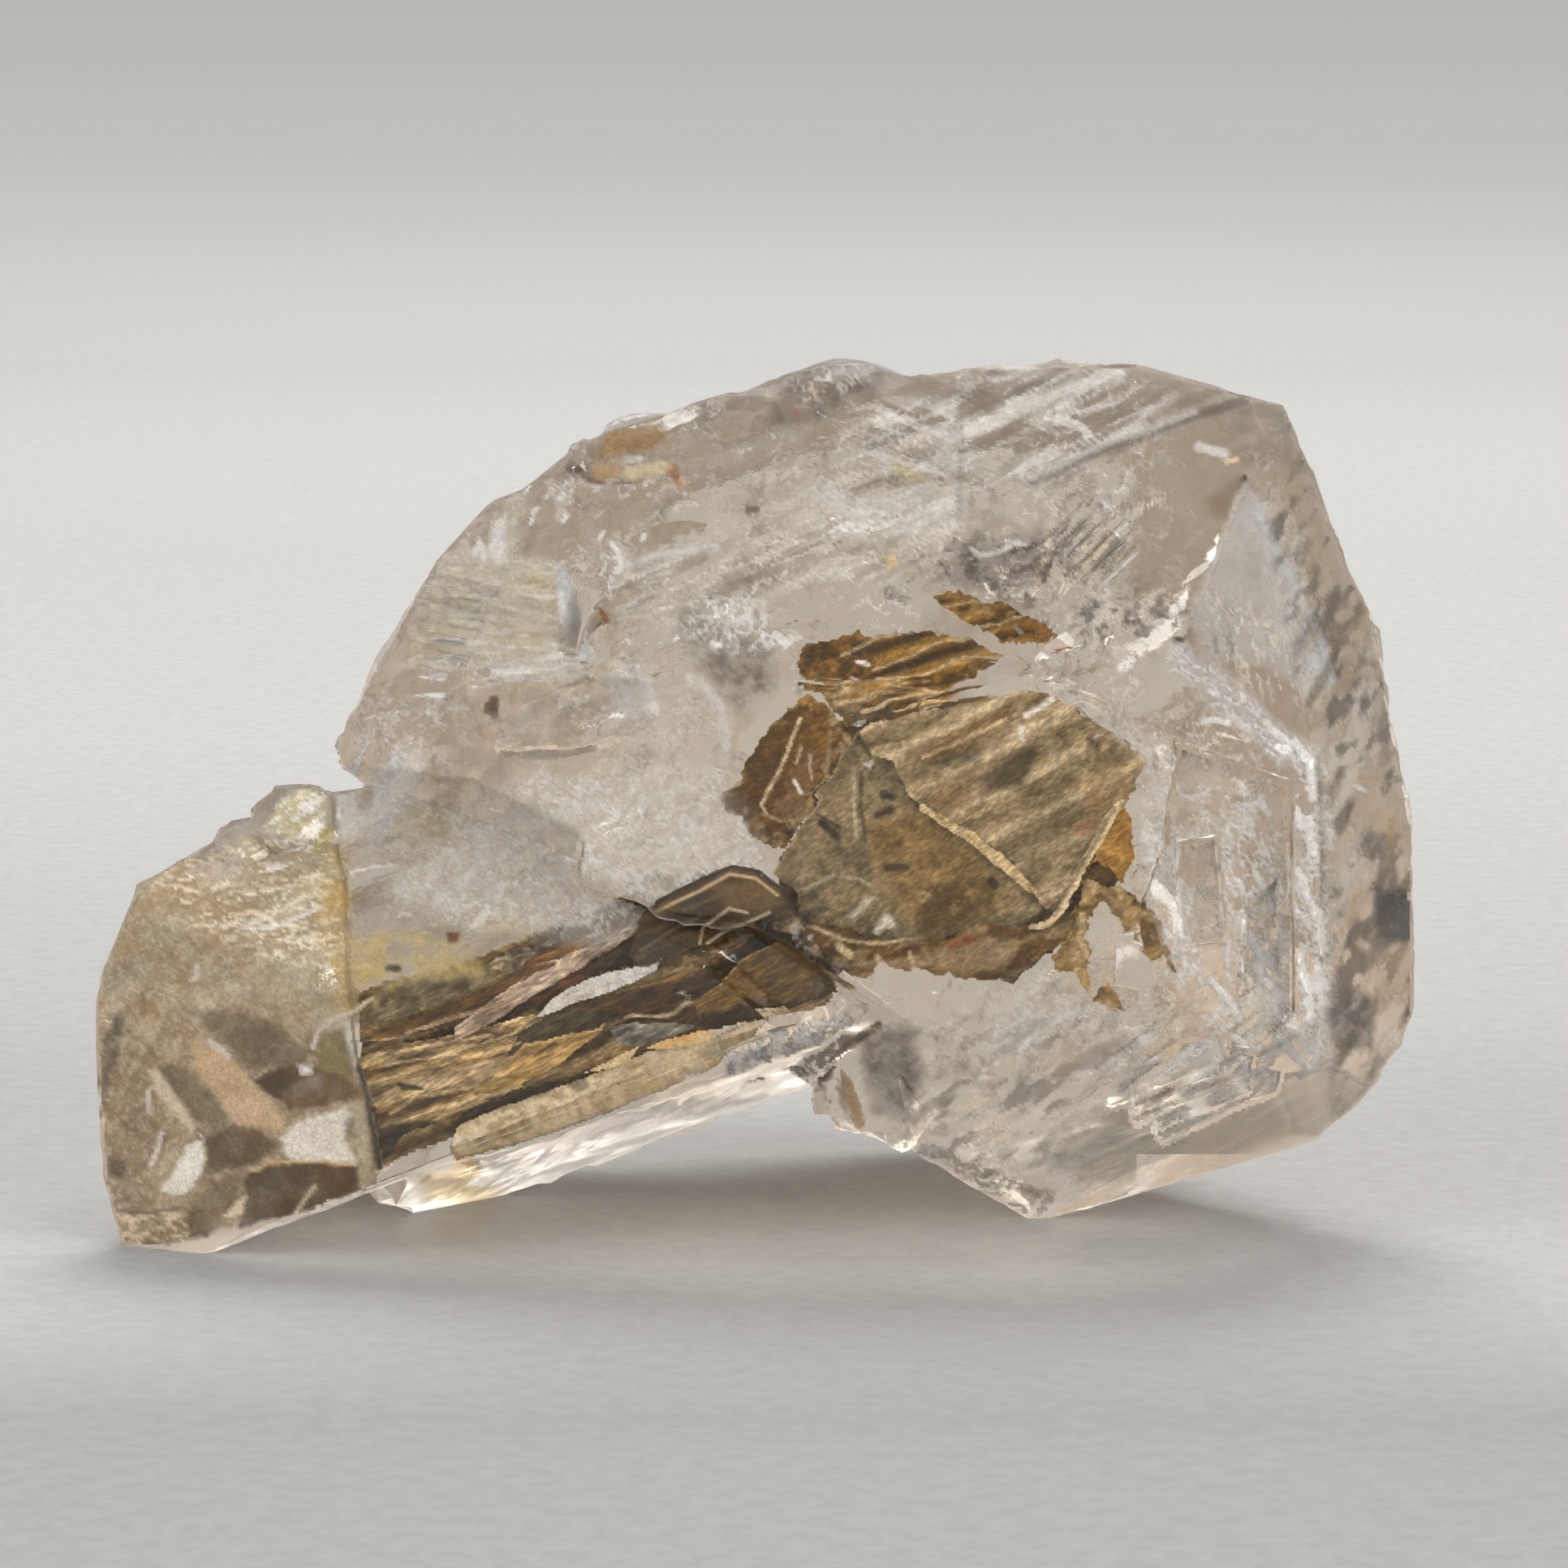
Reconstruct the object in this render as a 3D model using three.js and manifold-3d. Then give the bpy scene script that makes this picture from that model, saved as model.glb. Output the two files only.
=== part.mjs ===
// Window quartz: a clear, skeletal quartz crystal with a long limb, whose hollow window and seam hold brown clay.
// Millimetres. X runs to the right, Y to the back, Z up. The origin is under the middle of the bounding box.
import * as THREE from "three";
import { mergeVertices } from "three/addons/utils/BufferGeometryUtils.js";
import Module from "manifold-3d";

const wasm = await Module();
wasm.setup();
const { Manifold, Mesh } = wasm;

// ---------------------------------------------------------------- driving dimensions
const CLAY_GAP = 0.35; // clear space between the clay and the quartz around it
const FILM = 0.7; // thickness of a clay film
const FRONT = -6.7; // where the window face stands
const BACK = 7.6; // where the back face stands
const STOCK = 90; // the rough block that the faces are cut from
const ORIGIN = new THREE.Vector3(0.27, 0.46, 0); // the middle of the footprint, before the crystal is centred

// ---------------------------------------------------------------- small tools
const radians = THREE.MathUtils.degToRad;
const vector = (corner) => new THREE.Vector3(...corner);

function solidOf(geometry) {
  const bare = geometry.clone();
  bare.deleteAttribute("normal");
  bare.deleteAttribute("uv");
  const merged = mergeVertices(bare, 1e-4);
  return new Manifold(
    new Mesh({
      numProp: 3,
      vertProperties: new Float32Array(merged.attributes.position.array),
      triVerts: new Uint32Array(merged.index.array),
    }),
  );
}

function geometryOf(solid) {
  const mesh = solid.getMesh();
  const geometry = new THREE.BufferGeometry();
  geometry.setAttribute("position", new THREE.BufferAttribute(mesh.vertProperties, 3));
  geometry.setIndex(new THREE.BufferAttribute(mesh.triVerts, 1));
  const flat = geometry.toNonIndexed();
  flat.computeVertexNormals();
  return flat;
}

const joined = (solids) => solids.reduce((sum, solid) => sum.add(solid));

// The part of a solid behind the plane through a point, whose outward side faces along normal.
function trim(solid, normal, through) {
  const n = normal.clone().normalize();
  return solid.trimByPlane([-n.x, -n.y, -n.z], -n.dot(through));
}

// A direction as a compass reading: azimuth 0 faces the front (-Y), 90 the right (+X); elevation is above the horizon.
function facing(azimuth, elevation) {
  const a = radians(azimuth);
  const e = radians(elevation);
  return new THREE.Vector3(Math.sin(a) * Math.cos(e), -Math.cos(a) * Math.cos(e), Math.sin(e));
}

// A frame on a face: its Z looks along facing(azimuth, elevation), its X runs level to the right seen from outside,
// and roll then turns it round that outward direction, anticlockwise.
function onFace(at, azimuth = 0, elevation = 0, roll = 0) {
  const outward = facing(azimuth, elevation);
  const right = new THREE.Vector3(Math.cos(radians(azimuth)), Math.sin(radians(azimuth)), 0);
  const frame = new THREE.Matrix4().makeBasis(right, outward.clone().cross(right), outward);
  frame.multiply(new THREE.Matrix4().makeRotationZ(radians(roll)));
  return frame.setPosition(...at);
}

// The outline pushed outwards by a margin, corner by corner. Outlines run anticlockwise.
function grown(outline, margin) {
  const corners = outline.map((corner) => new THREE.Vector2(...corner));
  return corners.map((corner, i) => {
    const before = corner.clone().sub(corners.at(i - 1)).normalize();
    const after = corners[(i + 1) % corners.length].clone().sub(corner).normalize();
    const out = new THREE.Vector2(before.y + after.y, -before.x - after.x);
    return corner.clone().addScaledVector(out, margin / Math.max(0.35, out.lengthSq() / 2));
  });
}

// A flat plate with the given outline, half its thickness to each side of the face frame.
function plate({ outline, thick, margin = 0, at, azimuth, elevation, roll }) {
  const shape = new THREE.Shape(grown(outline, margin));
  const depth = thick + 2 * margin;
  const geometry = new THREE.ExtrudeGeometry(shape, { depth, bevelEnabled: false });
  geometry.translate(0, 0, -depth / 2);
  geometry.applyMatrix4(onFace(at, azimuth, elevation, roll));
  return solidOf(geometry);
}

// The same for an outline given in the X and Z of the crystal itself, as seen from the front.
function sheet({ outline, y, thick, lean = 0, swing = 0, margin = 0 }) {
  const middle = outline.reduce(([x, z], [u, v]) => [x + u / outline.length, z + v / outline.length], [0, 0]);
  const local = outline.map(([x, z]) => [x - middle[0], z - middle[1]]);
  const at = [middle[0], y, middle[1]];
  return plate({ outline: local, thick, margin, at, azimuth: swing, elevation: lean });
}

// A shell-shaped or rounded body: a faceted ball, squeezed to three radii in a face frame.
function ball({ radii, detail = 2, at, azimuth, elevation, roll }) {
  const geometry = new THREE.IcosahedronGeometry(1, detail);
  geometry.scale(...radii);
  geometry.applyMatrix4(onFace(at, azimuth, elevation, roll));
  return solidOf(geometry);
}

// A row of parallel V-shaped grooves or, when they are added, ridges: triangular bars across a face.
function bars({ count, pitch, length, width, height, at, azimuth, elevation, roll = 0, shrink = 1 }) {
  return joined(
    Array.from({ length: count }, (_, i) => {
      const offset = (i - (count - 1) / 2) * pitch;
      const reach = (length / 2) * (i % 2 ? shrink : 1);
      const profile = new THREE.Shape([
        new THREE.Vector2(-width / 2, -height),
        new THREE.Vector2(width / 2, -height),
        new THREE.Vector2(width / 6, height),
        new THREE.Vector2(-width / 6, height),
      ]);
      const geometry = new THREE.ExtrudeGeometry(profile, { depth: 2 * reach, bevelEnabled: false });
      geometry.translate(0, 0, -reach);
      geometry.rotateX(Math.PI / 2);
      geometry.rotateZ(Math.PI / 2);
      geometry.translate(0, offset, 0);
      geometry.applyMatrix4(onFace(at, azimuth, elevation, roll));
      return solidOf(geometry);
    }),
  );
}

// A crystal grows from rough stock: each edge of its rim carries a front and a back face, which lean in by so many
// degrees, and the named faces then cut what is left.
function crystal({ heart, rim, faces }) {
  let solid = solidOf(new THREE.BoxGeometry(STOCK, STOCK, STOCK));
  rim.forEach(({ at, front, back }, i) => {
    const start = vector(at);
    const end = vector(rim[(i + 1) % rim.length].at);
    const along = end.clone().sub(start).normalize();
    const outward = new THREE.Vector3(-along.z, 0, along.x).normalize();
    for (const [lean, side] of [[front, -1], [back, 1]]) {
      const normal = outward.clone().multiplyScalar(Math.cos(radians(lean)));
      normal.y += side * Math.sin(radians(lean));
      normal.addScaledVector(along, -normal.dot(along));
      solid = trim(solid, normal, start);
    }
  });
  for (const face of Object.values(faces)) {
    const [a, b, c] = (face.corners ?? []).map(vector);
    const normal = face.corners ? b.clone().sub(a).cross(c.clone().sub(a)) : facing(...face.facing);
    const through = face.corners ? a : vector(face.through);
    if (normal.dot(vector(heart).sub(through)) > 0) normal.negate();
    solid = trim(solid, normal, through);
  }
  return solid;
}

// A re-entrant notch: what lies beyond every one of its walls, whose outward sides face into the notch.
function notch(walls) {
  return walls.reduce(
    (block, wall) => trim(block, facing(...wall.facing).negate(), vector(wall.through)),
    solidOf(new THREE.BoxGeometry(STOCK, STOCK, STOCK)),
  );
}

// ---------------------------------------------------------------- the two crystals
const mainCrystal = crystal({
  heart: [4, 0, 11],
  rim: [
    { at: [-10.5, -2.0, 11.8], front: 38, back: 30 },
    { at: [-7.8, -1.0, 16.8], front: 42, back: 25 },
    { at: [-6.5, -1.0, 18.2], front: 45, back: 30 },
    { at: [-4.7, -1.0, 19.6], front: 48, back: 35 },
    { at: [0.8, 0.0, 21.3], front: 42, back: 28 },
    { at: [9.8, 0.0, 21.6], front: 40, back: 28 },
    { at: [13.4, -1.0, 20.7], front: 25, back: 30 },
    { at: [15.6, -2.0, 15.3], front: 25, back: 33 },
    { at: [16.5, -2.5, 10.2], front: 25, back: 30 },
    { at: [16.75, -2.5, 5.7], front: 35, back: 35 },
    { at: [15.8, -2.0, 3.8], front: 35, back: 38 },
    { at: [14.5, -1.5, 2.1], front: 37, back: 0 },
    { at: [7.3, -1.2, -0.15], front: 30, back: 2 },
    { at: [1.9, -1.0, 3.2], front: 20, back: 5 },
  ],
  faces: {
    window: { facing: [3, 2], through: [13.9, FRONT, 9] },
    rightPrism: { corners: [[13.8, -6.5, 12.6], [14.0, -6.8, 5.0], [16.75, -2.5, 5.7]] },
    aboveWindow: { corners: [[12.3, -4.0, 19.0], [10.1, -6.0, 15.3], [13.8, -6.5, 12.6]] },
    upperRight: { corners: [[12.3, -4.0, 19.0], [13.8, -6.5, 12.6], [15.6, -2.0, 15.3]] },
    belowWindow: { corners: [[14.0, -6.8, 5.0], [7.5, -7.0, 4.7], [7.3, -1.2, -0.15]] },
    lowerRight: { corners: [[14.0, -6.8, 5.0], [15.8, -2.0, 3.8], [14.5, -1.5, 2.1]] },
    top: { corners: [[9.8, 0.0, 21.6], [12.3, -4.0, 19.0], [0.8, -3.5, 19.5]] },
    upperMiddle: { facing: [-4, 28], through: [3, -6.3, 15.2] },
    upperLeft: { facing: [-32, 20], through: [-6.5, -5.2, 14] },
    frosted: { facing: [-10, 13], through: [-4.5, -6.7, 9.3] },
    back: { facing: [178, 4], through: [4, BACK, 10] },
    backLeft: { facing: [-140, 8], through: [-5, 5.4, 12] },
    backRight: { facing: [122, 3], through: [12.5, 5.2, 10] },
    backTop: { facing: [176, 42], through: [5, 5.6, 18] },
    backFoot: { facing: [180, -38], through: [7, 6.0, 0] },
    floor: { facing: [0, -90], through: [0, 0, 0] },
  },
});

const limb = crystal({
  heart: [-6, -1, 6],
  rim: [
    { at: [-15.9, -5.0, -0.05], front: 30, back: 35 },
    { at: [-16.4, -4.7, 1.6], front: 35, back: 35 },
    { at: [-16.5, -4.5, 4.2], front: 35, back: 35 },
    { at: [-16.3, -4.0, 6.2], front: 38, back: 32 },
    { at: [-15.0, -3.5, 9.3], front: 46, back: 30 },
    { at: [-12.8, -3.0, 10.2], front: 42, back: 30 },
    { at: [-10.8, -2.5, 11.3], front: 38, back: 30 },
    { at: [0.0, -2.0, 12.5], front: 40, back: 30 },
    { at: [5.0, -1.0, 9.0], front: 20, back: 20 },
    { at: [3.0, 1.5, 3.3], front: 5, back: 25 },
    { at: [-6.4, 1.2, -0.15], front: 0, back: 0 },
  ],
  faces: {
    limbFront: { facing: [-3, -5], through: [-5, -6.9, 5] },
    blockFront: { facing: [-24, 3], through: [-9.8, -6.8, 5] },
    underside: { corners: [[-9.6, -6.0, 1.65], [2.2, -6.0, 6.1], [-6.4, 1.2, 0.1]] },
    limbBack: { facing: [196, 10], through: [-8, 4.6, 4] },
    blockBack: { facing: [236, 6], through: [-14.0, 0.2, 5] },
    backHeel: { facing: [190, -40], through: [-9, 3.8, 0] },
    blockHeel: { facing: [225, -35], through: [-13.4, 0.4, 0.6] },
    floor: { facing: [0, -90], through: [0, 0, 0] },
  },
});

// ---------------------------------------------------------------- what stands out of the faces
const growths = [
  // the knob on the crest and the two low lumps beside it
  ball({ at: [2.4, 1.0, 21.0], radii: [1.7, 1.6, 0.95], azimuth: 0, elevation: 90, roll: 15, detail: 1 }),
  ball({ at: [0.7, 0.7, 20.9], radii: [1.1, 1.0, 0.5], azimuth: 0, elevation: 90, roll: 40, detail: 1 }),
  ball({ at: [-2.2, 0.4, 19.9], radii: [2.2, 1.2, 0.5], azimuth: -20, elevation: 80, roll: 10, detail: 1 }),
  // the chipped lobe on the limb's shoulder
  ball({ at: [-11.3, -2.8, 10.5], radii: [1.1, 1.2, 0.9], azimuth: -20, elevation: 60, roll: 20, detail: 1 }),
  ball({ at: [-12.5, -3.0, 9.8], radii: [0.8, 1.0, 0.6], azimuth: -20, elevation: 60, roll: 50, detail: 1 }),
  // the small wedge-shaped crystal on the inside of the right foot
  plate({
    outline: [[-1.2, -1.5], [0.3, -1.7], [1.5, -1.0], [1.3, 1.0], [0.4, 1.7], [-0.9, 0.6]],
    thick: 3.0, at: [3.2, -2.4, 3.9], azimuth: -24, elevation: -18,
  }),
  // parallel ridges under the window
  bars({ count: 5, pitch: 0.55, length: 3.4, width: 0.45, height: 0.28, shrink: 0.75,
    at: [10.9, -6.1, 4.3], azimuth: 5, elevation: -50, roll: 42 }),
  // a low step along the inside of the frosted face
  plate({ outline: [[-2.4, -0.4], [1.6, -1.6], [3.4, -0.6], [3.0, 1.2], [-0.4, 1.5]], thick: 0.5,
    at: [-2.4, -6.8, 10.0], azimuth: -10, elevation: 13 }),
  // growth steps on the back
  plate({ outline: [[-4.5, -3.5], [3.0, -4.2], [4.6, 0.5], [1.8, 4.0], [-3.6, 3.1]], thick: 0.9,
    at: [3.5, 7.6, 10.5], azimuth: 178, elevation: 4 }),
  plate({ outline: [[-2.6, -2.2], [1.7, -2.8], [2.9, 0.4], [0.8, 2.4], [-2.0, 1.8]], thick: 1.5,
    at: [3.2, 7.7, 11.0], azimuth: 178, elevation: 4, roll: 8 }),
  ball({ at: [9.5, 6.2, 4.2], radii: [1.6, 1.3, 1.2], azimuth: 150, elevation: 0, detail: 1 }),
];

// ---------------------------------------------------------------- what is hollowed out of them
const hollows = [
  // the recess under the limb, which leaves a keel behind its front edge
  notch([
    { facing: [71, -67], through: [-9.6, -6.0, 1.55] },
    { facing: [-75, -12], through: [-9.8, 1.2, 0.4] },
  ]),
  // the hopper in the window face, two steps deep
  sheet({ outline: [[9.3, 8.2], [9.6, 5.9], [12.7, 5.3], [13.4, 6.3], [13.3, 12.0], [10.4, 13.0], [10.0, 10.2]],
    y: FRONT, thick: 0.9, lean: 2, swing: 3 }),
  sheet({ outline: [[10.4, 7.8], [11.8, 7.9], [11.5, 10.6], [10.5, 10.5]], y: FRONT, thick: 1.9, lean: 2, swing: 3 }),
  sheet({ outline: [[12.0, 6.5], [13.1, 7.2], [13.0, 9.7], [12.2, 8.8]], y: FRONT, thick: 1.5, lean: 2, swing: 3 }),
  // the shell-shaped scoop above the frosted face, and a narrow chip with steep walls beside it
  ball({ at: [-4.5, -6.9, 13.7], radii: [3.6, 1.4, 1.7], azimuth: -10, elevation: 13, roll: 12 }),
  plate({ outline: [[-0.4, -1.1], [0.3, -1.2], [0.5, 1.0], [-0.5, 1.2]], thick: 1.6,
    at: [-4.1, -4.3, 15.8], azimuth: -32, elevation: 34, roll: 6 }),
  // the square-cornered notch below the crest
  notch([
    { facing: [-8, 78], through: [-2.9, -1.9, 18.8] },
    { facing: [-6, 4], through: [-2.9, -1.3, 19.3] },
    { facing: [84, 20], through: [-4.4, -1.7, 19.0] },
    { facing: [-86, 20], through: [-1.6, -1.7, 19.0] },
  ]),
  // the striped column at the left edge
  bars({ count: 7, pitch: 0.48, length: 3.2, width: 0.34, height: 0.18, shrink: 0.8,
    at: [-8.0, -2.3, 15.1], azimuth: -39, elevation: 30, roll: -4 }),
  // fine stripes high on the right
  bars({ count: 6, pitch: 0.38, length: 2.2, width: 0.24, height: 0.14,
    at: [8.5, -4.3, 17.6], azimuth: -6, elevation: 43, roll: 52 }),
  // shallow shells on the upper faces
  ball({ at: [3.5, -3.7, 19.0], radii: [2.8, 1.4, 1.2], azimuth: -6, elevation: 43, roll: 20 }),
  ball({ at: [-2.1, -4.0, 17.8], radii: [2.2, 1.3, 1.0], azimuth: -6, elevation: 43, roll: 25 }),
  ball({ at: [-0.3, -5.5, 16.0], radii: [1.3, 0.9, 0.7], azimuth: -6, elevation: 43, roll: 60, detail: 1 }),
  ball({ at: [8.0, -7.0, 15.4], radii: [1.7, 1.1, 0.9], azimuth: 10, elevation: 23, roll: 30, detail: 1 }),
  // the arched underside
  ball({ at: [1.2, -3.5, 1.4], radii: [2.6, 1.8, 3.2], azimuth: 90, elevation: 0, roll: 0 }),
  ball({ at: [0.4, 4.6, 0.2], radii: [4.2, 2.9, 5.0], azimuth: 90, elevation: 0, roll: 0 }),
  // chips along the sharp edge of the right foot
  ball({ at: [4.9, -2.0, 0.8], radii: [0.8, 0.6, 0.7], azimuth: -43, elevation: -47, detail: 1 }),
  ball({ at: [6.2, -1.9, 0.2], radii: [0.8, 0.6, 0.6], azimuth: -43, elevation: -47, roll: 30, detail: 1 }),
  ball({ at: [3.7, -1.4, 1.5], radii: [0.6, 0.6, 0.5], azimuth: -43, elevation: -47, roll: 10, detail: 1 }),
  // the keel's blunt corner
  ball({ at: [-9.6, -2.0, 0.0], radii: [1.2, 0.9, 2.6], azimuth: 180, elevation: 0, detail: 1 }),
  // chips on the limb's foot
  ball({ at: [-15.9, -6.2, 1.2], radii: [1.0, 0.7, 0.8], azimuth: -30, elevation: -10, detail: 1 }),
  ball({ at: [-13.4, -7.2, 0.4], radii: [1.4, 0.8, 0.7], azimuth: -24, elevation: -15, roll: 12, detail: 1 }),
  ball({ at: [-11.5, -7.5, 1.4], radii: [0.9, 0.6, 0.8], azimuth: -20, elevation: -10, roll: 30, detail: 1 }),
  // steps on the limb's shoulder
  plate({ outline: [[-1.6, -0.5], [1.8, -0.4], [1.6, 0.6], [-1.8, 0.5]], thick: 0.7,
    at: [-12.2, -5.6, 8.6], azimuth: -15, elevation: 32, roll: 22 }),
  // a hopper on the back face
  plate({ outline: [[-2.4, -1.6], [2.2, -2.0], [2.6, 1.4], [-1.8, 1.9]], thick: 1.2,
    at: [9.6, 7.5, 11.2], azimuth: 178, elevation: 4, roll: -6 }),
  ball({ at: [-7.4, 6.4, 9.6], radii: [2.6, 2.4, 2.0], azimuth: 210, elevation: 20 }),
  ball({ at: [-12.6, 3.2, 6.6], radii: [2.0, 1.8, 1.6], azimuth: 200, elevation: 30 }),
];

// ---------------------------------------------------------------- the clay
const windowFilms = [
  // the thick dark lobe at the top
  { outline: [[1.3, 14.0], [1.6, 12.9], [4.2, 12.6], [6.6, 13.4], [6.4, 15.0], [4.6, 15.4], [2.6, 15.3], [1.3, 14.9]],
    y: -4.5, thick: 1.1, lean: 12, swing: -4 },
  // the left wing
  { outline: [[1.1, 10.1], [2.4, 11.0], [2.6, 13.1], [1.5, 13.7], [0.3, 12.4], [-0.5, 11.3], [-0.3, 10.9]],
    y: -5.1, thick: FILM, lean: 4, swing: -14 },
  // the wide sheet, and a second, narrower one lying on it
  { outline: [[0.9, 9.4], [1.8, 7.7], [4.6, 6.9], [7.4, 7.2], [9.2, 9.0], [9.6, 11.0], [9.3, 12.5], [6.4, 13.6],
    [1.6, 13.0], [1.7, 11.0]], y: -4.9, thick: FILM, lean: 3, swing: 3 },
  { outline: [[4.0, 8.0], [7.2, 7.4], [9.0, 9.2], [9.3, 11.6], [6.0, 12.6], [4.6, 10.6]], y: -5.3, thick: FILM,
    lean: -4, swing: 6 },
];
const upperFilms = [
  { outline: [[4.2, 16.0], [5.6, 15.2], [7.4, 14.7], [7.9, 15.1], [5.6, 16.4]], y: -4.1, thick: FILM, lean: 34 },
];
const flakeFilms = [
  { outline: [[9.5, 7.8], [10.3, 7.4], [10.4, 8.9], [9.6, 9.4], [9.3, 8.7]], y: -5.6, thick: 0.5, swing: 12 },
  { outline: [[8.4, 6.4], [9.5, 6.1], [9.9, 7.7], [9.3, 8.4], [8.9, 7.4]], y: -5.6, thick: 0.4, swing: 12 },
];
const seamFilms = [
  { outline: [[-9.4, 2.4], [-6.4, 3.1], [-2.4, 4.5], [1.9, 6.0], [2.0, 6.5], [0.6, 7.7], [-1.4, 7.8], [-4.4, 6.4],
    [-9.4, 4.3]], y: -5.5, thick: 0.6, lean: -4, swing: -3 },
  { outline: [[-8.4, 2.9], [-4.4, 4.1], [-1.0, 5.4], [-1.6, 6.6], [-4.6, 5.7], [-8.4, 4.2]], y: -5.9, thick: 0.5,
    lean: -8, swing: -4 },
  { outline: [[-4.6, 6.2], [-1.4, 7.2], [0.8, 7.0], [1.0, 8.6], [0.2, 9.4], [-1.6, 9.2]], y: -4.7, thick: 0.6,
    lean: 30, swing: -3 },
];

const solidFilm = (films) => joined(films.map((film) => sheet(film)));
const roomFor = (films) => joined(films.map((film) => sheet({ ...film, margin: CLAY_GAP })));
const allFilms = [windowFilms, upperFilms, flakeFilms, seamFilms];

// Each filled hollow reaches the outside through a small mouth.
const mouths = [
  sheet({ outline: [[8.9, 7.0], [9.7, 6.8], [9.8, 8.4], [9.0, 8.3]], y: -6.6, thick: 2.6 }),
  sheet({ outline: [[4.8, 14.2], [6.0, 14.0], [6.2, 15.6], [5.2, 15.9]], y: -4.3, thick: 0.9, lean: 20 }),
  sheet({ outline: [[1.2, 5.9], [2.3, 6.2], [2.2, 6.9], [1.4, 6.8]], y: -6.8, thick: 2.4 }),
];

// ---------------------------------------------------------------- the part
const grownTogether = joined([mainCrystal, limb, ...growths]);
const hollowed = [...hollows, ...allFilms.map(roomFor), ...mouths].reduce(
  (solid, hollow) => solid.subtract(hollow),
  grownTogether,
);
const levelled = trim(hollowed, new THREE.Vector3(0, 0, -1), new THREE.Vector3());

const quartzMaterial = new THREE.MeshStandardMaterial({ color: 0xcfc4b2, roughness: 0.15, metalness: 0 });
const clayMaterial = new THREE.MeshStandardMaterial({ color: 0x6e5228, roughness: 0.8, metalness: 0 });

const part = new THREE.Group();
function addPiece(name, solid, material) {
  const mesh = new THREE.Mesh(geometryOf(solid), material);
  mesh.name = name;
  mesh.position.copy(ORIGIN).negate();
  part.add(mesh);
}
addPiece("quartz", levelled, quartzMaterial);
addPiece("window_clay", solidFilm(windowFilms), clayMaterial);
addPiece("upper_clay", solidFilm(upperFilms), clayMaterial);
addPiece("clay_flakes", solidFilm(flakeFilms), clayMaterial);
addPiece("seam_clay", solidFilm(seamFilms), clayMaterial);

export default part;
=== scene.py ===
import math
import bmesh
import bpy
import numpy as np
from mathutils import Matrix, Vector
from mathutils.bvhtree import BVHTree


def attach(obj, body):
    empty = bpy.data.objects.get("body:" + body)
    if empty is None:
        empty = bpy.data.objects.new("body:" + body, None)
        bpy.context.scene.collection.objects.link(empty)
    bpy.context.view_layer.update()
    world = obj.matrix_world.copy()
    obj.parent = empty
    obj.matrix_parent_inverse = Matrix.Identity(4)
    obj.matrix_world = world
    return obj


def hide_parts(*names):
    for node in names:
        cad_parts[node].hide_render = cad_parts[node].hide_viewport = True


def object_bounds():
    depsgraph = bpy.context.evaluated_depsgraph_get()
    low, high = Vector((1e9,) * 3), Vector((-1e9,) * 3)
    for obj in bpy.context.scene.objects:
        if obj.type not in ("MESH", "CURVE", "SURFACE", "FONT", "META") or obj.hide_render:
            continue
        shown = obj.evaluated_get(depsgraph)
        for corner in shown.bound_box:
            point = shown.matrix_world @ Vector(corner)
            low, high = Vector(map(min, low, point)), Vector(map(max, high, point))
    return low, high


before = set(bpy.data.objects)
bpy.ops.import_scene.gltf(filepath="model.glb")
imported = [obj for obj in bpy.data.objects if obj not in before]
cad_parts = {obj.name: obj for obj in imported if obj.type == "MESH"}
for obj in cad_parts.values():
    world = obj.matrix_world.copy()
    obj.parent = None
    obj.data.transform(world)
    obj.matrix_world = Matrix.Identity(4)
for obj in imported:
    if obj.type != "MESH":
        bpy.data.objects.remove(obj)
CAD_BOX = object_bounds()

MM = 0.001
QUARTZ_IOR = 1.544
scene = bpy.context.scene

# ------------------------------------------------------------------ the photograph's view
EYE = np.array((0.64848, -148.54152, 31.79880))  # where the camera stands, in millimetres
AIM = np.array((0.64848, -0.46, 10.98729))
LENS = 135.0
SENSOR = 36.0
FRAME_PX = 1932
FOCAL_PX = LENS / SENSOR * FRAME_PX
PX_PER_MM = 48.45  # picture size of the crystal
FORWARD = (AIM - EYE) / np.linalg.norm(AIM - EYE)
RIGHT = np.array((1.0, 0.0, 0.0))
UP = np.cross(RIGHT, FORWARD)


def seen_at(co):
    """The picture position of points in millimetres, in a 1932-pixel frame."""
    offset = co - EYE
    depth = offset @ FORWARD
    across = FRAME_PX / 2 + FOCAL_PX * (offset @ RIGHT) / depth
    down = FRAME_PX / 2 - FOCAL_PX * (offset @ UP) / depth
    return np.stack([across, down], axis=1)


def sight(px, py):
    """The direction of sight through picture positions."""
    across = (np.asarray(px, float) - FRAME_PX / 2) / FOCAL_PX
    upward = (FRAME_PX / 2 - np.asarray(py, float)) / FOCAL_PX
    line = FORWARD + RIGHT * across[..., None] + UP * upward[..., None]
    return line / np.linalg.norm(line, axis=-1, keepdims=True)


def on_plane(px, py, y):
    """Points at depth y, in millimetres, on the line of sight through picture positions."""
    line = sight(px, py)
    return EYE + line * ((np.asarray(y, float) - EYE[1]) / line[..., 1])[..., None]


# ------------------------------------------------------------------ noise, in millimetres
LATTICE_PRIMES = (73856093, 19349663, 83492791)
MIXERS = (2654435761, 1274126177, 2246822519)
POSITIVE = 0x7FFFFFFF


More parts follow.
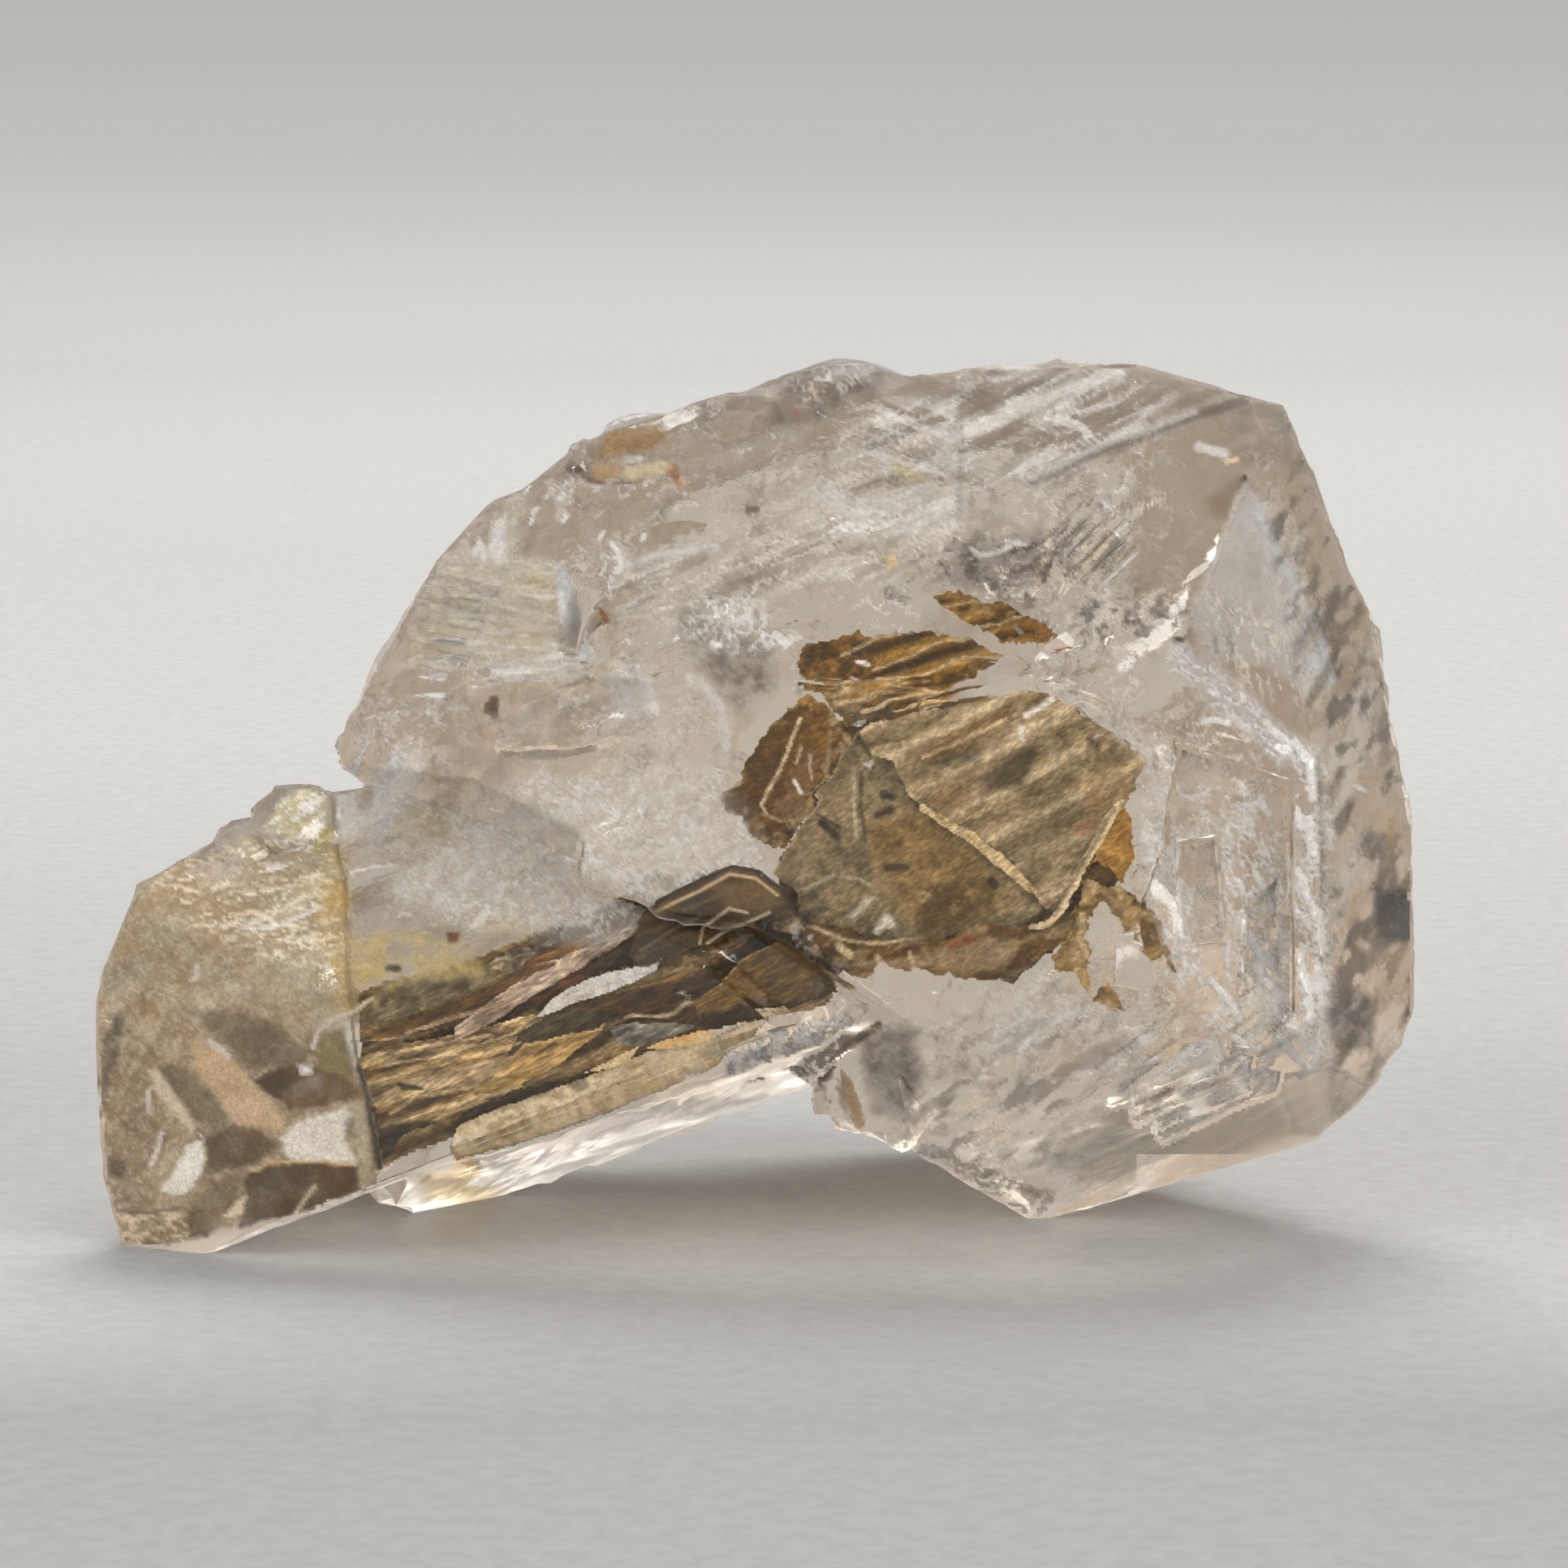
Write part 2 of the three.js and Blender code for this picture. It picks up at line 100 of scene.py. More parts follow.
def lattice(cells, seed):
    """A repeatable number between -1 and 1 for every cell."""
    h = cells[..., 0] * LATTICE_PRIMES[0]
    h = h ^ (cells[..., 1] * LATTICE_PRIMES[1])
    h = h ^ (cells[..., 2] * LATTICE_PRIMES[2])
    h = h ^ (seed * MIXERS[0] & POSITIVE)
    h = (h ^ (h >> 13)) * MIXERS[1] & POSITIVE
    h = (h ^ (h >> 15)) * MIXERS[2] & POSITIVE
    return ((h ^ (h >> 14)) & 0xFFFF) / 32767.5 - 1.0


def noise(points, seed=0):
    """Smooth noise between -1 and 1, with cells one unit wide."""
    base = np.floor(points).astype(np.int64)
    f = points - base
    f = f * f * (3 - 2 * f)
    total = np.zeros(len(points))
    for corner in np.ndindex(2, 2, 2):
        weights = [f[:, k] if corner[k] else 1 - f[:, k] for k in range(3)]
        total += weights[0] * weights[1] * weights[2] * lattice(base + np.array(corner), seed)
    return total


def octaves_of(shape, points, octaves, seed, seed_step, gain):
    """Ever finer and weaker layers of noise, each put through a shape."""
    total = 0.0
    weight = 1.0
    norm = 0.0
    for i in range(octaves):
        total = total + weight * shape(noise(points * 2.0**i, seed + seed_step * i))
        norm += weight
        weight *= gain
    return total / norm


def fractal(points, octaves=4, seed=0, gain=0.5):
    """Clouds."""
    return octaves_of(lambda n: n, points, octaves, seed, 17, gain)


def ridged(points, octaves=3, seed=0):
    """Crests, where the noise crosses zero."""
    return octaves_of(lambda n: 1 - 2 * np.abs(n), points, octaves, seed, 31, 0.5)


def smooth(a, b, x):
    """0 below a, 1 above b and an even curve between them."""
    t = np.clip((x - a) / (b - a), 0, 1)
    return t * t * (3 - 2 * t)


def terraces(h, tread=0.75):
    """Turns a smooth height into flat treads one unit apart, with short steep risers."""
    base = np.floor(h)
    return base + smooth(tread, 1.0, h - base)


def along(co, angle, across, length):
    """Coordinates for streaks that run at an angle, in degrees above the X axis, in the XZ plane."""
    a = math.radians(angle)
    run = co[:, 0] * math.cos(a) + co[:, 2] * math.sin(a)
    rise = -co[:, 0] * math.sin(a) + co[:, 2] * math.cos(a)
    return np.stack([run / length, co[:, 1] / length, rise / across], axis=1)


# ------------------------------------------------------------------ outlines and strokes in the picture
def nearest(p, a, b):
    """Squared distance from points to the line from a to b."""
    ab = b - a
    t = np.clip(((p - a) @ ab) / (ab @ ab), 0, 1)
    return ((p - a - t[:, None] * ab) ** 2).sum(axis=1)


def fence(p, corners):
    """Signed distance to a polygon in the plane, positive inside."""
    corners = np.asarray(corners, float)
    inside = np.zeros(len(p), bool)
    best = np.full(len(p), np.inf)
    for a, b in zip(corners, np.roll(corners, -1, axis=0)):
        best = np.minimum(best, nearest(p, a, b))
        crosses = (a[1] > p[:, 1]) != (b[1] > p[:, 1])
        if b[1] != a[1]:
            inside ^= crosses & (p[:, 0] < (b[0] - a[0]) * (p[:, 1] - a[1]) / (b[1] - a[1]) + a[0])
    return np.where(inside, 1, -1) * np.sqrt(best)


def patch(p, corners, soft=12.0):
    """1 inside a polygon and 0 outside it, over a soft border."""
    return smooth(-soft, soft, fence(p, corners))


def stroke(p, points, width, soft=None):
    """1 on a broken line and 0 away from it."""
    points = np.asarray(points, float)
    best = np.full(len(p), np.inf)
    for a, b in zip(points[:-1], points[1:]):
        best = np.minimum(best, nearest(p, a, b))
    return 1 - smooth(width * 0.5, width * 0.5 + (soft or width), np.sqrt(best))


def each(paint, rows):
    """Calls a painting method once for every row of a table."""
    for values in rows:
        paint(*values)


# ------------------------------------------------------------------ mesh helpers
def coords(mesh):
    """A mesh's points, in millimetres."""
    co = np.empty(len(mesh.vertices) * 3, np.float32)
    mesh.vertices.foreach_get("co", co)
    return co.reshape(-1, 3).astype(float) / MM


def set_coords(mesh, co):
    mesh.vertices.foreach_set("co", (co * MM).astype(np.float32).ravel())
    mesh.update()


def normals(mesh):
    n = np.empty(len(mesh.vertices) * 3, np.float32)
    mesh.vertex_normals.foreach_get("vector", n)
    return n.reshape(-1, 3).astype(float)


def tri_mesh(name, co, tri):
    """A mesh from arrays of points and triangles."""
    mesh = bpy.data.meshes.new(name)
    mesh.vertices.add(len(co))
    mesh.vertices.foreach_set("co", (co * MM).astype(np.float32).ravel())
    mesh.loops.add(len(tri) * 3)
    mesh.loops.foreach_set("vertex_index", tri.astype(np.int32).ravel())
    mesh.polygons.add(len(tri))
    mesh.polygons.foreach_set("loop_start", np.arange(0, len(tri) * 3, 3, dtype=np.int32))
    mesh.update(calc_edges=True)
    mesh.validate()
    return mesh


def triangles(mesh):
    mesh.calc_loop_triangles()
    tri = np.empty(len(mesh.loop_triangles) * 3, np.int32)
    mesh.loop_triangles.foreach_get("vertices", tri)
    return tri.reshape(-1, 3)


def neighbours(tri):
    """Both ends of every edge, each way round."""
    ends = np.concatenate([tri[:, [0, 1]], tri[:, [1, 2]], tri[:, [2, 0]]])
    return np.concatenate([ends, ends[:, ::-1]])


def sum_over(ends, values):
    """What each point's neighbours add up to."""
    return np.stack([np.bincount(ends[:, 0], values[ends[:, 1], k], len(values)) for k in range(3)], axis=1)


def shaded(mesh, crease):
    """Smooth shading, apart from edges sharper than an angle in degrees."""
    for poly in mesh.polygons:
        poly.use_smooth = True
    mesh.set_sharp_from_angle(angle=math.radians(crease))


def attribute(mesh, name, values):
    """A number on every point, which materials read by name."""
    layer = mesh.attributes.new(name, "FLOAT", "POINT")
    layer.data.foreach_set("value", np.asarray(values, np.float32))


def attribute_colour(mesh, name, rgb):
    """A colour on every point, which materials read by name."""
    layer = mesh.attributes.new(name, "FLOAT_COLOR", "POINT")
    rgba = np.concatenate([rgb, np.ones((len(rgb), 1))], axis=1)
    layer.data.foreach_set("color", rgba.astype(np.float32).ravel())


def add_object(name, data):
    obj = bpy.data.objects.new(name, data)
    scene.collection.objects.link(obj)
    return obj


def add_piece(name, mesh, slot, *replaced):
    """A piece of the crystal, which stands for the CAD nodes that it replaces."""
    obj = add_object(name, mesh)
    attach(obj, "root")
    if replaced:
        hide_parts(*replaced)
    return obj


def baked(obj):
    """The object's mesh with its modifiers applied."""
    graph = bpy.context.evaluated_depsgraph_get()
    graph.update()
    made = bpy.data.meshes.new_from_object(obj.evaluated_get(graph))
    obj.modifiers.clear()
    old = obj.data
    obj.data = made
    bpy.data.meshes.remove(old)
    return made


def boolean(obj, other, operation):
    """Joins or cuts an object with another, which is used up."""
    cut = obj.modifiers.new("cut", "BOOLEAN")
    cut.operation = operation
    cut.solver = "MANIFOLD"
    cut.object = other
    baked(obj)
    bpy.data.objects.remove(other)


def remeshed(obj, voxel):
    """The object's mesh rebuilt from voxels of a size in millimetres."""
    remesh = obj.modifiers.new("remesh", "REMESH")
    remesh.mode = "VOXEL"
    remesh.voxel_size = voxel * MM
    return baked(obj)


def cleaned(mesh, merge, triangulate=False):
    """Merges points closer than a distance in metres."""
    bm = bmesh.new()
    bm.from_mesh(mesh)
    if triangulate:
        bmesh.ops.triangulate(bm, faces=bm.faces)
    bmesh.ops.remove_doubles(bm, verts=bm.verts, dist=merge)
    bm.to_mesh(mesh)
    bm.free()


def tree_of(mesh):
    """A mesh ready for lines to be shot at it."""
    points = [v.co.copy() for v in mesh.vertices]
    return BVHTree.FromPolygons(points, [tuple(p.vertices) for p in mesh.polygons])


def split_one(corner, middle):
    """Halves of triangles whose first edge is split."""
    return [
        np.stack([corner[:, 0], middle[:, 0], corner[:, 2]], 1),
        np.stack([middle[:, 0], corner[:, 1], corner[:, 2]], 1),
    ]


def split_two(co, corner, middle):
    """Thirds of triangles whose first two edges are split, across the shorter diagonal."""
    first = np.linalg.norm(co[corner[:, 0]] - co[middle[:, 1]], axis=1)
    second = np.linalg.norm(co[middle[:, 0]] - co[corner[:, 2]], axis=1)
    s = first <= second
    return [
        np.stack([middle[:, 0], corner[:, 1], middle[:, 1]], 1),
        np.stack([corner[s, 0], middle[s, 0], middle[s, 1]], 1),
        np.stack([corner[s, 0], middle[s, 1], corner[s, 2]], 1),
        np.stack([corner[~s, 0], middle[~s, 0], corner[~s, 2]], 1),
        np.stack([middle[~s, 0], middle[~s, 1], corner[~s, 2]], 1),
    ]


def split_three(corner, middle):
    """Quarters of triangles with every edge split."""
    return [
        np.stack([corner[:, 0], middle[:, 0], middle[:, 2]], 1),
        np.stack([middle[:, 0], corner[:, 1], middle[:, 1]], 1),
        np.stack([middle[:, 2], middle[:, 1], corner[:, 2]], 1),
        np.stack([middle[:, 0], middle[:, 1], middle[:, 2]], 1),
    ]


def refine(co, tri, limit, rounds=12):
    """Splits every edge longer than limit(middle) in half, again and again."""
    for _ in range(rounds):
        ends = np.sort(np.concatenate([tri[:, [0, 1]], tri[:, [1, 2]], tri[:, [2, 0]]]), axis=1)
        keys, which = np.unique(ends, axis=0, return_inverse=True)
        a, b = co[keys[:, 0]], co[keys[:, 1]]
        middle = (a + b) / 2
        long = np.linalg.norm(a - b, axis=1) > limit(middle)
        if not long.any():
            break
        number = np.full(len(keys), -1)
        number[long] = len(co) + np.arange(long.sum())
        co = np.vstack([co, middle[long]])
        mid = number[which.reshape(3, -1).T]
        count = (mid >= 0).sum(axis=1)
        parts = [tri[count == 0]]
        for turns in range(3):
            turned, split = np.roll(tri, -turns, axis=1), np.roll(mid, -turns, axis=1)
            one = (count == 1) & (split[:, 0] >= 0)
            parts += split_one(turned[one], split[one])
            two = (count == 2) & (split[:, 2] < 0)
            parts += split_two(co, turned[two], split[two])
        parts += split_three(tri[count == 3], mid[count == 3])
        tri = np.concatenate(parts)
    return co, tri


# ------------------------------------------------------------------ the quartz, without the clay's rooms
CLAY_NODES = ("window_clay", "upper_clay", "clay_flakes", "seam_clay")
ROOM = 0.62  # how far a clay room's walls stand from the clay, at most
CLAY_VOXEL = 0.14
ROOM_VOXEL = 0.2
FLUSH = 0.02  # how far behind the surface a stopper's front lies
RAY_START = -0.03  # a depth in front of the crystal, in metres
WELD_CAD, WELD_SOLID = 1e-6, 1e-7  # points closer than this become one, in metres
# The mouths of the clay's rooms: from and to along X, from and to along Z, and the depth of the stopper.
MOUTHS = [
    (8.5, 9.68, 6.65, 8.55, -4.9),
    (4.4, 6.05, 13.85, 16.0, -3.6),
    (0.82, 2.15, 5.8, 7.05, -5.4),
]


def swollen(node_name):
    """A CAD node grown by ROOM on every side."""
    obj = add_object("swollen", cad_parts[node_name].data.copy())
    mesh = remeshed(obj, CLAY_VOXEL)
    set_coords(mesh, coords(mesh) + normals(mesh) * ROOM)
    remeshed(obj, ROOM_VOXEL)
    return obj


def front_of(tree, x, z):
    """How far forward the surface lies at a place, in millimetres."""
    hit = tree.ray_cast(Vector((x * MM, RAY_START, z * MM)), Vector((0, 1, 0)))
    return hit[0].y / MM


def stopper(tree, x0, x1, z0, z1, back):
    """A block that fills a mouth, flush with the surface round it."""
    ring = [(x0, z0), (x1, z0), (x1, z1), (x0, z1)]
    points = [(x, front_of(tree, x, z) + FLUSH, z) for x, z in ring] + [(x, back, z) for x, z in ring]
    sides = [(0, 1, 2, 3), (7, 6, 5, 4), (0, 4, 5, 1), (1, 5, 6, 2), (2, 6, 7, 3), (3, 7, 4, 0)]
    mesh = bpy.data.meshes.new("stopper")
    mesh.from_pydata((np.array(points) * MM).tolist(), [], sides)
    bm = bmesh.new()
    bm.from_mesh(mesh)
    bmesh.ops.triangulate(bm, faces=bm.faces)
    bmesh.ops.recalc_face_normals(bm, faces=bm.faces)
    bm.to_mesh(mesh)
    bm.free()
    return add_object("stopper", mesh)


def closed_quartz():
    """The CAD quartz with its rooms and mouths filled."""
    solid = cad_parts["quartz"].data.copy()
    cleaned(solid, WELD_CAD)
    made = add_piece("clear_quartz", solid, "quartz", "quartz")
    cad_tree = tree_of(solid)
    for node_name in CLAY_NODES:
        boolean(made, swollen(node_name), "UNION")
    for mouth in MOUTHS:
        boolean(made, stopper(cad_tree, *mouth), "UNION")
    cleaned(made.data, WELD_SOLID, triangulate=True)
    return made


shell = closed_quartz()


# ------------------------------------------------------------------ fine relief of the quartz
FRONT_EDGE, REAR_EDGE = 0.31, 0.62  # the longest edges, in millimetres
FRONT_DEPTH = -1.0  # nearer than this, the surface is the front
EDGE_FACTOR = 1.0
SOFTENING = 0.6
MANY_ROUNDS = 30
FEW_ROUNDS = 12
LIMB_CREASE = [(425, 1190), (560, 1150), (700, 1105), (900, 1050), (1000, 1150), (1060, 1240)]
LIMB_SHOULDER = ((-2.7, -7.2, 10.0), (4.6, 2.0, 2.6))  # centre and radii, in millimetres
LUMPS = [  # the lumps along the outline: their centres and radii
    ((0.5, -0.6, 21.2), (4.6, 2.5, 1.6)),
    ((-10.7, -3, 11.4), (1.9, 2.5, 1.6)),
    ((-4.5, -0.8, 19.2), (2.4, 2.0, 1.6)),
]
BORDER_WOBBLE = 22  # how far the borders of the zones stray, in picture pixels


def edge_limit(middle):
    """Short edges where the camera and the light show the relief best."""
    return np.where(middle[:, 1] < FRONT_DEPTH, FRONT_EDGE, REAR_EDGE) * EDGE_FACTOR


def soften(co, tri, amount, rounds):
    """Rounds off creases where amount is above zero, by moving each point towards its neighbours."""
    ends = neighbours(tri)
    degree = np.bincount(ends[:, 0], minlength=len(co))[:, None]
    for _ in range(rounds):
        co = co + (sum_over(ends, co) / degree - co) * amount[:, None]
    return co


def near(co, centre, radii):
    """1 near a centre and 0 away from it."""
    return 1 - smooth(0.8, 1.1, np.linalg.norm((co - centre) / radii, axis=1))


def softened(co, tri):
    """Rounds off the limb's crease and shoulder and the lumps along the outline."""
    creases = stroke(seen_at(co), LIMB_CREASE, 60, 40) * smooth(-4.6, -5.2, co[:, 1])
    co = soften(co, tri, SOFTENING * creases, MANY_ROUNDS)
    co = soften(co, tri, SOFTENING * near(co, *LIMB_SHOULDER), MANY_ROUNDS)
    lumps = sum(near(co, *lump) for lump in LUMPS)
    return soften(co, tri, SOFTENING * np.clip(lumps, 0, 1), FEW_ROUNDS)


co, tri = refine(coords(shell.data), triangles(shell.data), edge_limit)
co = softened(co, tri)
old_mesh = shell.data
shell.data = tri_mesh("clear_quartz", co, tri)
bpy.data.meshes.remove(old_mesh)
mesh = shell.data
face_n = normals(mesh)
away = co - EYE
facing = -(face_n * away / np.linalg.norm(away, axis=1)[:, None]).sum(axis=1)
front = smooth(0.02, 0.25, facing)
behind = 1 - smooth(-0.25, 0.05, facing)
wobble = np.stack([fractal(co / 1.2, 3, 5), fractal(co / 1.2, 3, 9)], axis=1)
seen = seen_at(co) + wobble * BORDER_WOBBLE
# Parts of the surface with a relief or a stain of their own: how soft the border is, and its corners.
ZONES = {
    "frost": (20, [(569, 991), (659, 956), (882, 951), (953, 1063), (819, 1108), (730, 1152),
        (569, 1120), (507, 1090)]),
    "column": (16, [(560, 688), (681, 697), (699, 804), (507, 813), (525, 732)]),
    "streaks": (24, [(748, 706), (971, 661), (1060, 500), (1180, 487), (1180, 688), (971, 724),
        (819, 759), (757, 750)]),
    "top_right": (24, [(1165, 473), (1378, 452), (1447, 482), (1404, 560), (1187, 595)]),
    "crumbs": (22, [(1187, 664), (1291, 647), (1343, 734), (1469, 734), (1456, 803), (1343, 812),
        (1334, 907), (1534, 898), (1490, 950), (1343, 929)]),
    "silver": (14, [(855, 741), (931, 728), (953, 777), (989, 786), (944, 813), (882, 804), (837, 777)]),
    "right": (14, [(1640, 780), (1790, 900), (1790, 1260), (1640, 1400), (1620, 1300), (1625, 930)]),
    "block": (16, [(80, 1280), (200, 1080), (330, 1010), (430, 960), (440, 1200), (470, 1500),
        (120, 1560)]),
    "block_top": (22, [(160, 1114), (196, 1070), (312, 1029), (392, 971), (419, 1034), (433, 1177),
        (312, 1212), (214, 1177)]),
    "triangle": (8, [(1440, 790), (1535, 590), (1650, 850), (1620, 930), (1560, 880)]),
    "clay": (30, [(890, 720), (1330, 720), (1410, 900), (1400, 1100), (1240, 1230), (1000, 1190),
        (870, 1000)]),
    "limb": (14, [(440, 1210), (700, 1130), (900, 1070), (1030, 1210), (1025, 1250), (700, 1370),
        (450, 1470)]),
    "window": (14, [(1400, 930), (1560, 900), (1630, 930), (1630, 1320), (1440, 1200), (1400, 1060)]),
    "low": (16, [(1000, 1270), (1240, 1240), (1640, 1330), (1640, 1420), (1280, 1520), (1000, 1400)]),
    "left_foot": (26, [(340, 960), (450, 1000), (470, 1130), (600, 1130), (700, 1150), (720, 1230),
        (480, 1290), (380, 1220)]),
}
STRIP = [(453, 1481), (560, 1432), (678, 1400), (810, 1349), (917, 1295), (981, 1252), (1028, 1266),
    (1021, 1352), (903, 1363), (846, 1388), (774, 1424), (696, 1445), (560, 1481)]
RUST_SPOT = [(509, 1454), (553, 1449), (567, 1427), (584, 1431), (593, 1454), (618, 1458), (616, 1471),
    (571, 1480), (531, 1471)]
QUARTZ_CREASE = 22  # degrees
CLEAR_TINT = (0.985, 0.975, 0.96)
zone = {name: patch(seen, corners, soft) * front for name, (soft, corners) in ZONES.items()}
strip = patch(seen, STRIP, 6)

# Combed relief: the zone, its height, and the angle, width, length, octaves and seed of its ridges.
COMBS = [
    ("streaks", 0.040, 20, 0.30, 2.6, 2, 23),
    ("top_right", 0.040, 22, 0.34, 2.4, 2, 25),
    ("block_top", 0.055, 14, 0.42, 1.8, 3, 51),
    ("low", 0.045, 37, 0.40, 2.0, 2, 59),
]
# Granular relief: the zone, its height, and the width, octaves and seed of its grains.
GRAINS = [
    ("crumbs", 0.055, 0.55, 3, 29),
    ("silver", 0.070, 0.34, 2, 31),
    ("window", 0.050, 0.80, 2, 57),
]


def front_relief():
    """How far the faces towards the camera stand out from the CAD's, in millimetres."""
    calm = (1 - 0.75 * zone["clay"]) * (1 - 0.7 * zone["limb"]) * (1 - 0.8 * zone["triangle"]) * front
    height = 0.030 * calm * ridged(along(co, 22, 0.55, 3.2), 3, 21)
    height -= 0.060 * calm * terraces(1.8 * fractal(along(co, 26, 1.3, 6.0), 3, 27))
    for name, rise, angle, across, length, octaves, seed in COMBS:
        height += rise * zone[name] * ridged(along(co, angle, across, length), octaves, seed)
    for name, rise, size, octaves, seed in GRAINS:
        height += rise * zone[name] * ridged(co / size, octaves, seed)
    height += zone["frost"] * (0.030 * ridged(along(co, 35, 0.26, 0.55), 2, 33) - 0.02)
    height += 0.030 * zone["column"] * terraces(2.0 * ridged(along(co, -5, 0.30, 3.0), 2, 41))
    height += 0.050 * zone["block"] * terraces(1.5 * fractal(co / 1.6, 3, 55))
    height += 0.035 * strip * terraces(1.6 * ridged(along(co, 62, 0.5, 2.4), 2, 61))
    return height


def rear_relief():
    """Growth faces with steps and pits on the side that the photograph doesn't show."""
    height = 0.22 * fractal(co / 1.9, 3, 63) + 0.10 * ridged(co / 0.9, 2, 65)
    height -= 0.10 * terraces(2.0 * fractal(along(co, 65, 1.0, 3.0), 3, 67))
    return behind * height


def carve():
    """Moves the surface by its relief, inside the CAD's box and level with the floor."""
    height = 0.010 * fractal(co / 0.5, 4, 3) + 0.03 * fractal(co / 2.4, 3, 13)
    height += front_relief() + rear_relief()
    crown = smooth(19.8, 20.6, co[:, 2]) * smooth(-2.5, -1.5, -np.abs(co[:, 0] - 1.2) * 0.6)
    height += crown * 0.10 * fractal(co / 0.5, 3, 69)
    height *= smooth(0.0, 0.5, co[:, 2])
    low, high = np.array(CAD_BOX) / MM
    set_coords(mesh, np.clip(co + face_n * height[:, None], low + 0.001, high - 0.001))
    shaded(mesh, QUARTZ_CREASE)


def weather():
    """Roughness, grit, stains and a grey strip under the limb, which the quartz's material reads."""
    under = smooth(0.3, 0.8, -face_n[:, 2])
    rough = 0.03 + 0.08 * smooth(-0.2, 0.6, fractal(co / 1.6, 3, 61))
    rough += 0.05 * zone["frost"] + 0.40 * behind + 0.10 * under + 0.05 * zone["silver"]
    attribute(mesh, "roughness", np.clip(rough, 0.02, 0.8))
    sheltered = (1 - zone["clay"]) * (1 - zone["limb"]) * (1 - 0.7 * zone["triangle"])
    attribute(mesh, "grit", 0.22 * sheltered + 0.03)
    blotch = smooth(-0.1, 0.5, fractal(co / 1.1, 4, 71))
    smoke = smooth(-0.1, 0.5, fractal(along(co, 60, 0.6, 1.3), 4, 81))
    stains = [
        ((0.95, 0.80, 0.48), 0.8 * blotch * zone["left_foot"]),
        ((0.95, 0.84, 0.56), 0.8 * blotch * zone["column"]),
        ((0.62, 0.55, 0.46), 0.8 * zone["right"] * smoke),
        # a flat grey tint that darkens the strip under the limb
        ((0.86, 0.85, 0.84), strip),
        ((0.90, 0.64, 0.26), 0.9 * patch(seen, RUST_SPOT, 5)),
    ]
    tint = np.ones((len(co), 3)) * CLEAR_TINT
    for rgb, amount in stains:
        share = np.clip(amount, 0, 1)[:, None]
        tint = tint * (1 - share) + tint * np.array(rgb) * share
    attribute_colour(mesh, "tint", tint)


carve()
weather()


# ------------------------------------------------------------------ material helpers
def material(name):
    mat = bpy.data.materials.new(name)
    mat.use_nodes = True
    tree = mat.node_tree
    return mat, tree, tree.nodes["Principled BSDF"]


def node(tree, kind, **values):
    """A node with its properties and sockets set."""
    made = tree.nodes.new(kind)
    for key, value in values.items():
        if hasattr(made, key):
            setattr(made, key, value)
        else:
            made.inputs[key.replace("_", " ")].default_value = value
    return made


def place(tree):
    return node(tree, "ShaderNodeTexCoord").outputs["Object"]


def grain(tree, scale, detail=4.0, rough=0.55, stretch=None, turn=0.0):
    """Noise, drawn out along a line at an angle above the X axis where stretch is given."""
    tex = node(tree, "ShaderNodeTexNoise", Scale=scale, Detail=detail, Roughness=rough)
    where = place(tree)
    if stretch:
        mapping = node(tree, "ShaderNodeMapping", vector_type="TEXTURE")
        mapping.inputs["Rotation"].default_value = (0, -math.radians(turn), 0)
        mapping.inputs["Scale"].default_value = stretch
        tree.links.new(where, mapping.inputs["Vector"])
        where = mapping.outputs["Vector"]
    tree.links.new(where, tex.inputs["Vector"])
    return tex.outputs["Fac"]


def ramp(tree, source, stops):
    """Colours by height, from a list of places and colours."""
    made = node(tree, "ShaderNodeValToRGB")
    tree.links.new(source, made.inputs["Fac"])
    elements = made.color_ramp.elements
    while len(elements) < len(stops):
        elements.new(0.5)
    for element, (at, rgb) in zip(elements, stops):
        element.position = at
        element.color = (*rgb, 1)
    return made.outputs["Color"]


def connect(tree, socket, value):
    """Links an output to a socket, or sets the socket to a number or a colour."""
    if isinstance(value, tuple):
        socket.default_value = (*value, 1)
    elif isinstance(value, (int, float)):
        socket.default_value = value
    else:
        tree.links.new(value, socket)


def maths(tree, operation, *values):
    made = node(tree, "ShaderNodeMath", operation=operation)
    for socket, value in zip(made.inputs, values):
        connect(tree, socket, value)
    return made.outputs[0]


def multiplied(tree, a, b):
    """The product of two colours."""
    made = node(tree, "ShaderNodeMix", data_type="RGBA", blend_type="MULTIPLY")
    for socket, value in zip((made.inputs["Factor"], made.inputs[6], made.inputs[7]), (1.0, a, b)):
        connect(tree, socket, value)
    return made.outputs[2]


def attr(tree, name, output="Fac"):
    return node(tree, "ShaderNodeAttribute", attribute_name=name).outputs[output]


def bump(tree, height, strength, distance):
    made = node(tree, "ShaderNodeBump", Distance=distance)
    connect(tree, made.inputs["Strength"], strength)
    tree.links.new(height, made.inputs["Height"])
    return made.outputs["Normal"]


